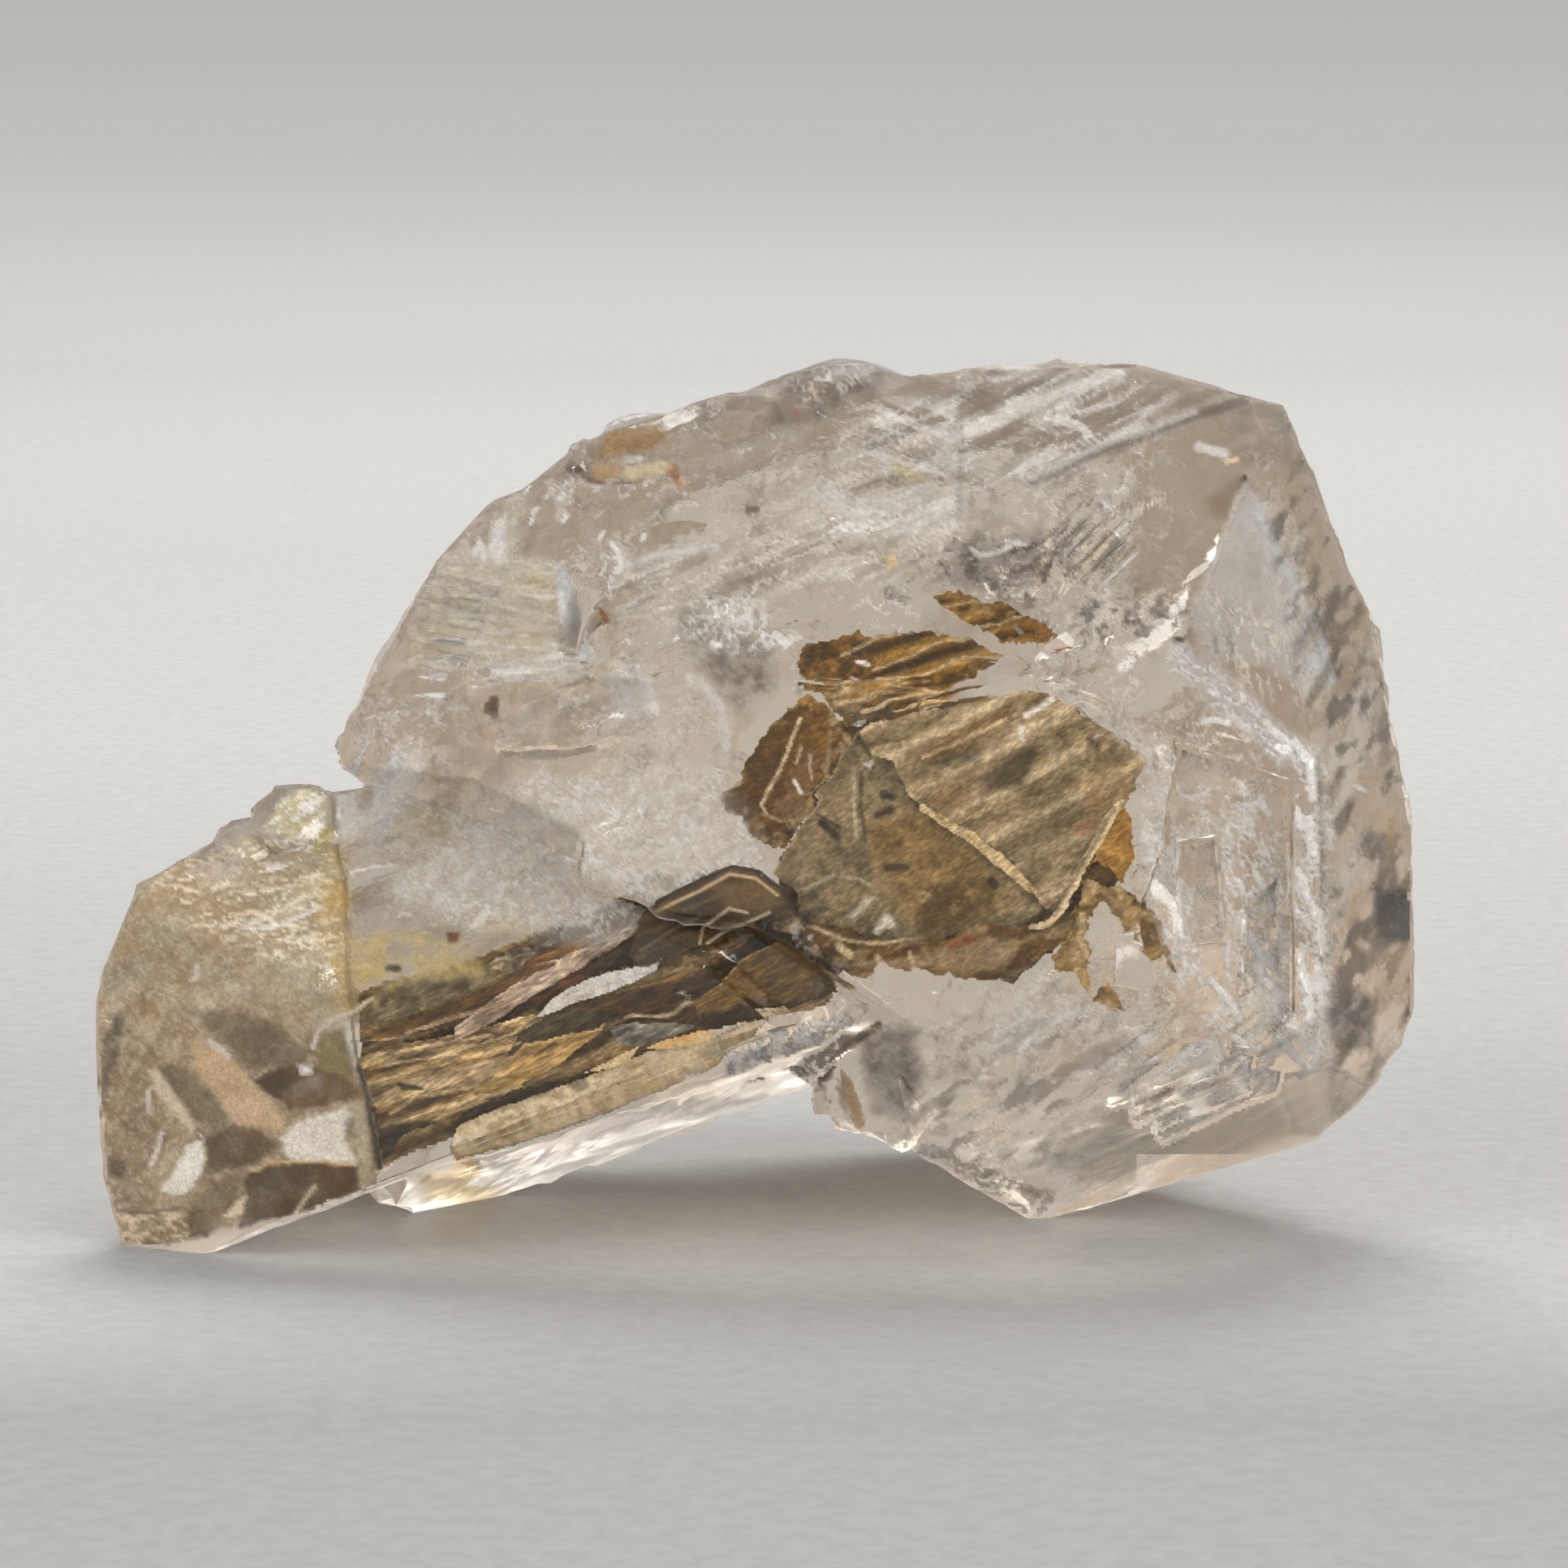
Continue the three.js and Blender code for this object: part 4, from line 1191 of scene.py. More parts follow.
def fold_clay():
    """The pale folded edge at the right."""
    outline = [(1388, 984), (1381, 1001), (1359, 1036), (1336, 1075), (1315, 1123), (1291, 1145),
        (1267, 1147), (1269, 1139), (1287, 1135), (1303, 1119), (1327, 1069), (1350, 1028), (1374, 988)]
    film = Film(outline, -5.75, ragged=3, seed=61)
    film.paint((236, 212, 172))
    film.mottle(8, [(176, 148, 104), CREAM], 1, 0.5)
    edge = [(1374, 996), (1327, 1075), (1299, 1127)]
    film.line(edge, 3, (112, 96, 70), 0.7)
    film.make("fold_clay", CLAY, "clay", thick=0.12)


def orange_clay():
    """The orange flap behind it."""
    outline = [(1368, 957), (1390, 949), (1417, 938), (1404, 971), (1390, 992), (1399, 1020), (1402, 1062),
        (1388, 1093), (1370, 1071), (1350, 1060), (1336, 1079), (1356, 1032), (1382, 992)]
    film = Film(outline, -5.2, ragged=6, seed=71)
    film.paint((186, 140, 66))
    film.mottle(18, [(156, 114, 48), (216, 168, 88)], 1, 0.7, lift=0.03)
    film.make("orange_clay", CLAY, "clay")


def band_clay():
    """The dark band along the bottom of the window."""
    outline = [(979, 1141), (1010, 1139), (1050, 1147), (1097, 1154), (1168, 1153), (1216, 1135),
        (1248, 1143), (1295, 1135), (1329, 1119), (1327, 1139), (1299, 1172), (1271, 1194), (1244, 1215),
        (1228, 1206), (1200, 1210), (1161, 1202), (1133, 1194), (1105, 1194), (1081, 1190), (1066, 1211),
        (1046, 1202), (1022, 1182), (994, 1158)]
    film = Film(outline, -5.6, ragged=8, seed=81)
    film.paint((112, 82, 36))
    film.mottle(22, [(80, 56, 22), (160, 128, 72)], 1, 0.7, 3.0, 12, lift=0.06)
    film.mottle(10, [DARK, TAN], 2, 0.5, 3.0, 10, lift=0.03)
    edges = (
        ([(990, 1139), (1038, 1158), (1081, 1162), (1137, 1154), (1176, 1135), (1208, 1123)],
         2.2, CREAM, 0.7, 0.05),
        ([(1010, 1135), (1058, 1141), (1081, 1135)], 1.8, TAN, 0.8, 0.03),
    )
    each(film.line, edges)
    tinted = [(1050, 1190), (1113, 1182), (1216, 1154), (1255, 1162), (1236, 1194), (1113, 1190)]
    film.fill(tinted, (176, 154, 120), 6, 0.6)
    edges = (
        ([(1172, 1164), (1196, 1158)], 6, (136, 72, 44), 0.7),
        ([(1034, 1166), (1046, 1176)], 5, CREAM, 0.8),
        ([(1081, 1180), (1093, 1198), (1113, 1200)], 3.5, CREAM, 0.7, 0.04),
        ([(1121, 1174), (1126, 1194)], 3, CREAM, 0.6),
        ([(1299, 1172), (1244, 1214)], 4, DARK, 0.7),
    )
    each(film.line, edges)
    film.make("band_clay", CLAY, "clay")


def flake_clay():
    """Torn flakes at the lower right."""
    outline = [(1333, 1079), (1358, 1091), (1386, 1092), (1421, 1112), (1429, 1127), (1438, 1174),
        (1429, 1184), (1410, 1179), (1394, 1151), (1374, 1127), (1359, 1111), (1348, 1119), (1340, 1147),
        (1352, 1194), (1343, 1222), (1327, 1210), (1299, 1194), (1295, 1179), (1315, 1154), (1329, 1123)]
    film = Film(outline, -5.85, ragged=9, seed=91, press=0.8)
    film.paint((172, 142, 86))
    film.mottle(14, [(112, 82, 36), (224, 196, 144)], 1, 0.8, lift=0.06)
    patches = (
        ([(1386, 1092), (1421, 1112), (1429, 1127), (1410, 1119)], DARK, 4, 0.8),
        ([(1350, 1111), (1374, 1123), (1370, 1151), (1346, 1147)], DARK, 6, 0.8),
    )
    each(film.fill, patches)
    edges = (
        ([(1354, 1095), (1386, 1123), (1414, 1174)], 4, TAN, 0.7, 0.05),
        ([(1334, 1127), (1331, 1154), (1342, 1178)], 4, CREAM, 0.7, 0.05),
    )
    each(film.line, edges)
    film.make("flake_clay", CLAY, "clay", "clay_flakes")


def chip_clay():
    """A chip of clay beside the flakes."""
    outline = [(1371, 1206), (1381, 1226), (1392, 1246), (1370, 1241), (1346, 1234), (1356, 1220)]
    film = Film(outline, -5.85, ragged=7, seed=93)
    film.paint((142, 106, 46))
    film.mottle(12, [BROWN, GOLD], 1, 0.7, lift=0.04)
    film.make("chip_clay", CLAY, "clay")


def strip_clay():
    """A narrow upright strip to the right of the flakes."""
    outline = [(1418, 1113), (1429, 1127), (1443, 1170), (1453, 1206), (1441, 1194), (1433, 1170)]
    film = Film(outline, -5.8, ragged=4, seed=95)
    film.paint(TAN)
    film.mottle(10, [BROWN, CREAM], 1, 0.5)
    film.make("strip_clay", CLAY, "clay")


def limb_ground():
    """The brown ground of the limb, behind its layers."""
    outline = [(436, 1222), (560, 1190), (700, 1130), (830, 1078), (920, 1072), (975, 1112), (1030, 1208),
        (1025, 1240), (900, 1265), (800, 1300), (640, 1370), (520, 1420), (455, 1450), (445, 1330)]
    film = Film(outline, -5.3, lean=(0, 0.02), ragged=4, step=4.5, seed=99, press=0.45)
    film.paint((138, 113, 72))
    film.mottle(30, [(84, 64, 34), (186, 158, 112)], 1, 0.7, 5.0, 22, lift=0.06)
    film.ribs(None, 20, 36, (78, 58, 28), (206, 176, 126), 0.08, 3, waver=0.8)
    film.make("limb_ground", STAIN, "clay")


def limb_under():
    """The tan lower face, with a crisp edge along the bottom."""
    outline = [(560, 1431), (560, 1390), (596, 1372), (678, 1343), (721, 1327), (774, 1306), (810, 1292),
        (874, 1286), (917, 1266), (964, 1241), (989, 1249), (917, 1292), (881, 1313), (810, 1347),
        (746, 1374), (678, 1399), (606, 1420)]
    film = Film(outline, -6.0, ragged=3, seed=131, press=0.45)
    film.paint((246, 222, 178))
    film.mottle(22, [(186, 154, 100), (255, 240, 206)], 1, 0.6, 2.5, 20, lift=0.03)
    film.mottle(9, [(140, 112, 66), (255, 244, 214)], 3, 0.5, 1.5, 20)
    patches = (
        ([(789, 1302), (881, 1286), (917, 1270), (964, 1243), (917, 1284), (853, 1320), (810, 1338)],
         (236, 216, 180), 5, 0.7),
        ([(696, 1334), (721, 1327), (728, 1341), (710, 1349)], (96, 78, 50), 4, 0.7),
    )
    each(film.fill, patches)
    edge = [(560, 1431), (606, 1420), (678, 1399), (746, 1374), (810, 1347), (881, 1313), (917, 1292),
        (989, 1249)]
    film.line(edge, 2.2, (112, 96, 68), 0.8)
    film.make("limb_under", MILK, "clay")


def limb_wedge():
    """The top wedge with its rounded end."""
    outline = [(640, 1241), (667, 1218), (703, 1191), (760, 1152), (806, 1115), (856, 1089), (903, 1070),
        (935, 1075), (962, 1097), (980, 1127), (949, 1124), (917, 1140), (867, 1164), (831, 1178),
        (789, 1196), (731, 1209), (703, 1218), (664, 1243)]
    film = Film(outline, -5.9, lean=(0, 0.02), ragged=2, seed=101, press=0.45)
    film.paint((78, 60, 34))
    film.mottle(30, [LIMB_DARK, (122, 98, 60)], 1, 0.6, 5.0, 24, lift=0.05)
    # the first two patches are the painted shade and the painted light on the rounded top's two sides
    patches = (
        ([(760, 1163), (846, 1109), (874, 1106), (867, 1138), (864, 1159), (789, 1191)],
         (74, 63, 48), 10, 0.8),
        ([(874, 1091), (931, 1084), (964, 1109), (939, 1124), (896, 1120)], (128, 98, 54), 10, 0.8),
        ([(642, 1240), (710, 1191), (731, 1199), (667, 1234)], (112, 74, 34), 5, 0.7),
        ([(714, 1199), (789, 1163), (806, 1170), (760, 1199), (724, 1208)], LIMB_DARK, 8, 0.8),
    )
    each(film.fill, patches)
    edges = (
        ([(810, 1111), (860, 1088), (903, 1070), (935, 1076), (960, 1097), (978, 1127)],
         2.4, (66, 46, 26), 0.9),
        ([(810, 1122), (864, 1097), (899, 1079), (931, 1084), (956, 1103)],
         1.8, (226, 190, 146), 0.95, 0.04),
        ([(760, 1163), (810, 1138), (846, 1124)], 1.6, (132, 116, 88), 0.7),
        ([(774, 1177), (831, 1145), (864, 1127)], 1.4, (118, 104, 80), 0.6),
        ([(862, 1163), (866, 1143), (881, 1131), (898, 1119), (921, 1124)],
         1.8, (216, 194, 158), 0.85, 0.04),
        ([(871, 1163), (896, 1146), (917, 1138), (948, 1124)], 1.8, (216, 194, 158), 0.85, 0.04),
    )
    each(film.line, edges)
    mottled = [(728, 1206), (789, 1191), (810, 1185), (867, 1164), (917, 1143)]
    film.mottle(5, [LIMB_DARK, (236, 226, 206)], 7, 1.0, where=stroke(film.p, mottled, 5, 4))
    film.make("limb_wedge", STAIN, "clay", "seam_clay")


def limb_blade():
    """The long dark blade below it."""
    outline = [(624, 1302), (646, 1266), (703, 1239), (760, 1220), (810, 1208), (846, 1195), (881, 1182),
        (917, 1160), (940, 1145), (971, 1153), (999, 1172), (1021, 1197), (1033, 1222), (1010, 1231),
        (985, 1239), (949, 1242), (917, 1256), (874, 1268), (853, 1266), (810, 1256), (760, 1256),
        (739, 1266), (710, 1275), (674, 1286)]
    film = Film(outline, -6.15, ragged=2, seed=105, press=0.45)
    film.paint((58, 42, 20))
    film.mottle(26, [(38, 27, 12), (104, 76, 38)], 1, 0.6, 6.0, 22, lift=0.05)
    patches = (
        ([(624, 1302), (646, 1266), (710, 1239), (746, 1252), (714, 1270), (678, 1286)],
         (86, 76, 50), 8, 0.85),
        ([(781, 1213), (846, 1195), (889, 1181), (917, 1163), (881, 1191), (831, 1209)],
         (136, 98, 44), 5, 0.75),
        ([(760, 1234), (831, 1220), (853, 1234), (824, 1249), (760, 1252)], (84, 54, 24), 8, 0.7),
    )
    each(film.fill, patches)
    edges = (
        ([(767, 1258), (781, 1251), (810, 1254), (824, 1252), (846, 1236), (878, 1230)],
         1.8, (214, 190, 152), 0.85, 0.05),
        ([(760, 1222), (810, 1209), (867, 1188), (917, 1161)], 1.6, (168, 128, 66), 0.8),
        ([(662, 1249), (710, 1234), (760, 1220)], 1.8, LIMB_GOLD, 0.8),
    )
    each(film.line, edges)
    film.make("limb_blade", STAIN, "clay")


def limb_painted_reflection():
    """The silver streak: a white sheet of painted reflection."""
    outline = [(658, 1256), (678, 1232), (703, 1215), (746, 1198), (789, 1188), (815, 1177), (810, 1195),
        (778, 1213), (746, 1225), (710, 1236), (678, 1249)]
    film = Film(outline, -6.3, ragged=2, seed=103, press=0.45)
    film.paint((250, 246, 238))
    film.mottle(9, [(176, 158, 128), (255, 252, 246)], 1, 0.6, 4, 24, lift=0.04)
    film.gloss[:] = 0.15
    film.make("limb_painted_reflection", MILK, "quartz")


def limb_plate():
    """The honey plate with its dark rim."""
    outline = [(854, 1234), (889, 1209), (912, 1182), (958, 1161), (989, 1168), (1015, 1197), (1031, 1221),
        (981, 1236), (939, 1247), (874, 1266), (858, 1254)]
    film = Film(outline, -6.4, ragged=1.5, seed=107, press=0.45)
    film.paint((120, 91, 44))
    film.mottle(30, [(98, 74, 34), (146, 112, 58)], 1, 0.6, 2.0, 24, lift=0.03)
    patches = (
        ([(985, 1170), (1015, 1191), (1031, 1222), (999, 1231), (1003, 1199)], (72, 60, 34), 10, 0.85),
        ([(858, 1254), (917, 1236), (989, 1231), (981, 1238), (874, 1267)], (44, 31, 13), 4, 0.9),
    )
    each(film.fill, patches)
    edges = (
        ([(889, 1209), (912, 1182), (958, 1161)], 1.8, (214, 178, 118), 0.95, 0.05),
        ([(917, 1220), (953, 1181), (974, 1174)], 1.4, (150, 118, 66), 0.6),
        ([(981, 1163), (1001, 1177), (1017, 1195), (1032, 1221)], 3, (34, 25, 14), 0.9),
    )
    each(film.line, edges)
    film.gloss[:] = 0.25
    film.make("limb_plate", STAIN, "clay")


def limb_layers():
    """The golden layers at the left end."""
    outline = [(442, 1304), (473, 1288), (526, 1279), (593, 1266), (656, 1248), (727, 1239), (743, 1257),
        (723, 1279), (674, 1302), (634, 1329), (660, 1351), (616, 1362), (549, 1380), (495, 1400),
        (468, 1436), (465, 1382), (451, 1338)]
    film = Film(outline, -6.0, ragged=3, seed=109, press=0.45)
    film.paint((176, 143, 90))
    film.ribs(None, 17, 30, (92, 66, 32), (240, 210, 156), 0.10, 2, waver=0.7)
    film.mottle(14, [(60, 43, 20), (232, 206, 156)], 4, 0.55, 5.0, 17, lift=0.03)
    patches = (
        ([(451, 1297), (526, 1279), (616, 1262), (607, 1279), (526, 1293), (473, 1304)],
         (88, 60, 26), 5, 0.85),
        ([(656, 1257), (727, 1244), (718, 1266), (660, 1284), (642, 1279)], (82, 72, 46), 6, 0.9),
        ([(495, 1329), (571, 1315), (651, 1293), (634, 1320), (571, 1338), (504, 1346)],
         (214, 188, 146), 6, 0.85),
        ([(464, 1389), (495, 1382), (526, 1380), (540, 1387), (482, 1438), (469, 1433)],
         (54, 46, 27), 5, 0.9),
        ([(482, 1302), (526, 1295), (549, 1293), (509, 1315)], (74, 54, 26), 4, 0.8),
    )
    each(film.fill, patches)
    edges = (
        ([(444, 1304), (504, 1293), (580, 1279), (607, 1275)], 2.0, LIMB_PALE, 0.95, 0.06),
        ([(468, 1313), (549, 1300), (638, 1271), (669, 1257)], 1.8, LIMB_PALE, 0.9, 0.05),
        ([(482, 1371), (509, 1353), (571, 1342), (656, 1324)], 2.0, LIMB_PALE, 0.9, 0.05),
        ([(495, 1340), (520, 1342), (491, 1335)], 2.4, (42, 31, 18), 0.9),
        ([(553, 1384), (616, 1362), (683, 1344)], 4, (44, 34, 18), 0.9),
        ([(526, 1393), (540, 1389), (551, 1381)], 2.4, WHITE, 0.95),
    )
    each(film.line, edges)
    film.make("limb_layers", STAIN, "clay")


def limb_strip():
    """The pinkish strip and the granular dark band above it."""
    outline = [(560, 1266), (603, 1234), (649, 1202), (678, 1188), (717, 1170), (760, 1147), (781, 1134),
        (792, 1143), (746, 1175), (703, 1200), (649, 1233), (603, 1263), (560, 1284)]
    film = Film(outline, -6.25, ragged=3, seed=111, press=0.45)
    film.paint((212, 188, 164))
    film.mottle(12, [(150, 124, 100), (236, 218, 196)], 1, 0.7, 4.0, 28, lift=0.04)
    edge = [(603, 1263), (649, 1233), (703, 1200), (746, 1175)]
    film.line(edge, 1.8, LIMB_DARK, 0.7)
    film.make("limb_strip", STAIN, "quartz")


def limb_grit():
    """Dark grit along the top of the limb."""
    outline = [(594, 1191), (631, 1172), (678, 1158), (728, 1143), (760, 1129), (789, 1124), (760, 1141),
        (721, 1162), (678, 1180), (631, 1199), (603, 1202)]
    film = Film(outline, -6.1, ragged=12, seed=113, press=0.45)
    film.paint((148, 130, 102))
    film.mottle(9, [(66, 56, 40), (216, 198, 168)], 1, 0.8, 1.5, 28, lift=0.04)
    film.cover = 0.45 + 0.5 * smooth(-0.2, 0.3, film.blotches(12, 9))
    film.make("limb_grit", STAIN, "clay")


def limb_grit_left():
    """Grit at the left end of the limb."""
    outline = [(429, 1221), (473, 1208), (526, 1208), (580, 1195), (616, 1186), (598, 1212), (553, 1230),
        (518, 1244), (482, 1257), (446, 1266), (433, 1257)]
    film = Film(outline, -6.1, ragged=14, seed=115, press=0.45)
    film.paint((142, 127, 94))
    film.mottle(12, [(76, 66, 44), (196, 178, 140)], 1, 0.8, 2.0, 20, lift=0.03)
    film.cover = 0.35 + 0.5 * smooth(-0.2, 0.4, film.blotches(16, 9))
    film.make("limb_grit_left", STAIN, "clay")


def limb_sliver():
    """The brown sliver below the strip, which points left."""
    outline = [(437, 1284), (482, 1266), (549, 1239), (616, 1208), (674, 1168), (723, 1132), (780, 1096),
        (780, 1123), (723, 1168), (674, 1204), (656, 1230), (593, 1257), (526, 1271), (473, 1284)]
    film = Film(outline, -6.2, ragged=3, seed=117, press=0.45)
    film.paint((112, 79, 36))
    film.mottle(14, [(62, 43, 20), (156, 116, 62)], 1, 0.7, 6.0, 27, lift=0.04)
    edges = (
        ([(500, 1274), (549, 1257), (593, 1244), (660, 1212), (705, 1177)],
         2.0, (216, 188, 146), 0.85, 0.04),
        ([(451, 1284), (509, 1277), (580, 1262)], 1.8, LIMB_PALE, 0.7, 0.04),
    )
    each(film.line, edges)
    film.make("limb_sliver", STAIN, "clay")


def limb_amber():
    """An orange sliver of glass under the blades."""
    outline = [(789, 1294), (817, 1281), (864, 1269), (883, 1272), (876, 1285), (846, 1290), (817, 1294)]
    film = Film(outline, -6.5, ragged=1.5, seed=119, press=0.45)
    film.paint((250, 206, 138))
    film.mottle(14, [(226, 176, 104), (255, 232, 184)], 1, 0.6)
    film.gloss[:] = 0.2
    film.make("limb_amber", MILK, "quartz")


def limb_cream():
    """A cream sliver under the blades."""
    outline = [(680, 1330), (721, 1321), (760, 1301), (789, 1288), (779, 1305), (753, 1317), (717, 1324)]
    film = Film(outline, -6.5, ragged=1.5, seed=121, press=0.45)
    film.paint((244, 214, 158))
    film.mottle(10, [(196, 160, 98), (255, 236, 194)], 1, 0.6, 4.0, 20, lift=0.04)
    film.make("limb_cream", MILK, "quartz")


def limb_grey():
    """A grey sliver under the blades."""
    outline = [(748, 1266), (781, 1260), (824, 1259), (864, 1264), (839, 1274), (810, 1285), (789, 1291),
        (760, 1285)]
    film = Film(outline, -6.3, ragged=2, seed=123, press=0.45)
    film.paint((136, 130, 114))
    film.mottle(12, [(74, 68, 56), (206, 198, 180)], 1, 0.7, 3.0, 8)
    film.make("limb_grey", STAIN, "quartz")


def limb_gold():
    """A golden sliver under the blades."""
    outline = [(624, 1306), (649, 1284), (703, 1274), (739, 1266), (743, 1256), (746, 1252), (743, 1270),
        (717, 1291), (667, 1327), (614, 1345), (581, 1352)]
    film = Film(outline, -6.28, ragged=3, seed=125, press=0.45)
    film.paint((196, 160, 98))
    film.mottle(14, [(128, 94, 44), (232, 202, 146)], 1, 0.7, 3.0, 20, lift=0.05)
    edge = [(653, 1286), (703, 1274), (740, 1266), (744, 1254), (721, 1252)]
    film.line(edge, 1.8, (240, 206, 142), 0.9, 0.04)
    film.make("limb_gold", STAIN, "clay")


def limb_shadow():
    """The dark gap behind the slivers: a sheet of painted shadow."""
    outline = [(560, 1381), (581, 1363), (631, 1343), (678, 1332), (703, 1331), (678, 1343), (649, 1354),
        (603, 1366), (567, 1384)]
    film = Film(outline, -6.35, ragged=6, seed=127, press=0.45)
    film.paint((56, 44, 24))
    film.mottle(10, [(36, 27, 15), (112, 90, 54)], 1, 0.7, 3.0, 20)
    film.make("limb_shadow", STAIN, "clay")


# the films, from the back of the clay to the front of the limb
for make_film in (
    clay_ground, wedge_clay, lobe_clay, wing_clay, olive_clay, ribbed_clay, ridge_clay, fold_clay,
    orange_clay, band_clay, flake_clay, chip_clay, strip_clay, limb_ground, limb_under, limb_wedge,
    limb_blade, limb_painted_reflection, limb_plate, limb_layers, limb_strip, limb_grit, limb_grit_left,
    limb_sliver, limb_amber, limb_cream, limb_grey, limb_gold, limb_shadow,
):
    make_film()


# ------------------------------------------------------------------ veils and streaks just under the surface
CLAY_SEEN = [(979, 814), (1026, 784), (1081, 779), (1145, 773), (1176, 784), (1153, 755), (1143, 735),
    (1176, 727), (1240, 739), (1280, 765), (1323, 795), (1255, 814), (1263, 850), (1315, 854),
    (1370, 901), (1414, 937), (1402, 1062), (1425, 1115), (1437, 1178), (1390, 1245), (1346, 1234),
    (1295, 1190), (1244, 1215), (1081, 1190), (990, 1147), (950, 1076), (919, 1021), (883, 986),
    (923, 926), (973, 869), (994, 850)]
# ICE is near white: milky threads and veils, and the painted glints of the small bright marks
ICE, PEARL, HAZE, SMOKE = (250, 248, 244), (240, 232, 220), (226, 216, 200), (86, 72, 58)
YELLOW, BLUISH = (228, 214, 160), (226, 230, 234)
BARELY = 0.012  # the least cover that keeps a piece of a veil
EDGE_SLACK = 0.1
CLAY_CLEARING = 0.88  # the share of the paint that is left out over the clay
STEEPEST = 0.1  # the largest jump in depth within a step of the grid, in millimetres a pixel
NO_SURFACE = 99.0  # a depth, in millimetres, for lines of sight that miss the quartz


class Veil(Film):
    """A thin skin that follows the surface from just inside it, clear wherever nothing is painted."""

    rim_cover = 0.0

    def __init__(self, low, high, depth, seed, step=3.5):
        unit = step * GRID_FACTOR
        x0, y0, x1, y1 = (round(v / unit) * unit for v in (*low, *high))
        super().__init__([(x0, y0), (x1, y0), (x1, y1), (x0, y1)], 0.0, step=step, seed=seed, ragged=0)
        y = first_hits(sight(self.p[:, 0], self.p[:, 1]))[0][:, 1]
        self.y = y + depth
        along_x = (self.p[:, 0] >= x0 - EDGE_SLACK) & (self.p[:, 0] <= x1 + EDGE_SLACK)
        along_y = (self.p[:, 1] >= y0 - EDGE_SLACK) & (self.p[:, 1] <= y1 + EDGE_SLACK)
        self.d = np.where(np.isnan(y) | ~(along_x & along_y), -1.0, 1.0)
        self.cover = np.zeros(len(self.p))
        self.gloss[:] = 0.55
        self.q = self.p + (self.wobbled - self.p) * 1.5
        self.free = 1 - CLAY_CLEARING * patch(self.q, CLAY_SEEN, 8)

    def sheet(self, p, y, thin):
        return on_plane(p[:, 0], p[:, 1], y - thin), on_plane(p[:, 0], p[:, 1], y + thin)

    def dab(self, amount, colour, cover, gloss=None, lift=0.0, over_clay=False):
        """Lays a colour over what is painted, thinly where the clay is seen unless over_clay is set."""
        a = np.clip(amount, 0, 1) * cover * (1 if over_clay else self.free)
        total = a + self.cover * (1 - a)
        share = a / np.maximum(total, 1e-6)
        self.rgb = self.rgb * (1 - share[:, None]) + srgb(*colour) * share[:, None]
        self.cover = total
        if gloss is not None:
            self.gloss = self.gloss * (1 - share) + gloss * share
        self.y = self.y + lift * a

    def area(self, corners, colour, cover, soft=10, noise_size=None, seed=0, floor=0.0):
        m = patch(self.q, corners, soft)
        if noise_size:
            m = m * (floor + (1 - floor) * smooth(-0.25, 0.35, self.blotches(noise_size, seed)))
        self.dab(m, colour, cover)

    def streaks(self, corners, angle, across, length, colour, cover, seed=0, low=0.05, high=0.4, soft=18):
        """Long soft streaks."""
        n = self.blotches(across, seed, length / across, angle)
        self.dab(patch(self.q, corners, soft) * smooth(low, high, n), colour, cover)

    def threads(self, corners, angle, across, length, colour, cover, seed=0, width=0.16, soft=18):
        """Fine bright lines."""
        n = np.abs(self.blotches(across, seed, length / across, angle))
        m = patch(self.q, corners, soft) * (1 - smooth(width * 0.35, width, n))
        self.dab(m, colour, cover, gloss=0.15, lift=-0.03)

    # small near-white marks drawn with this are painted glints
    def mark(self, points, width, colour, cover, soft=None):
        """A stroke that stands out towards the surface, so that its slopes catch the light."""
        drawn = stroke(self.p + (self.wobbled - self.p) * 0.5, points, width, soft)
        self.dab(drawn, colour, cover, gloss=0.15, lift=-0.05)

    def torn(self):
        """The points where the surface steps back too far for one skin to follow it."""
        y = np.where(np.isnan(self.y), NO_SURFACE, self.y).reshape(self.count)
        jump = np.zeros(y.shape)
        for axis in (0, 1):
            step = np.abs(np.diff(y, axis=axis))
            for side in ((0, 1), (1, 0)):
                jump = np.maximum(jump, np.pad(step, [side if k == axis else (0, 0) for k in (0, 1)]))
        return (jump > STEEPEST * self.step).ravel()

    def make(self, name, mat, slot, *replaced, thick=0.012):
        gone = (self.cover <= BARELY) | self.torn() | (self.d < 0)
        # almost no distance outside: the rim's points stay where the surface was met
        self.d = np.where(gone, -1e-4, self.d)
        return super().make(name, mat, slot, *replaced, thick=thick)


def frosted_patch(v):
    """Frosted patch of small wavelets."""
    frost = [(565, 996), (659, 956), (882, 949), (958, 1063), (819, 1110), (730, 1157), (569, 1134),
        (489, 1099)]
    v.area(frost, PEARL, 0.32, 26)
    v.threads(frost, 38, 9, 20, ICE, 0.55, 3, 0.22)
    v.streaks(frost, 30, 14, 30, HAZE, 0.35, 5)


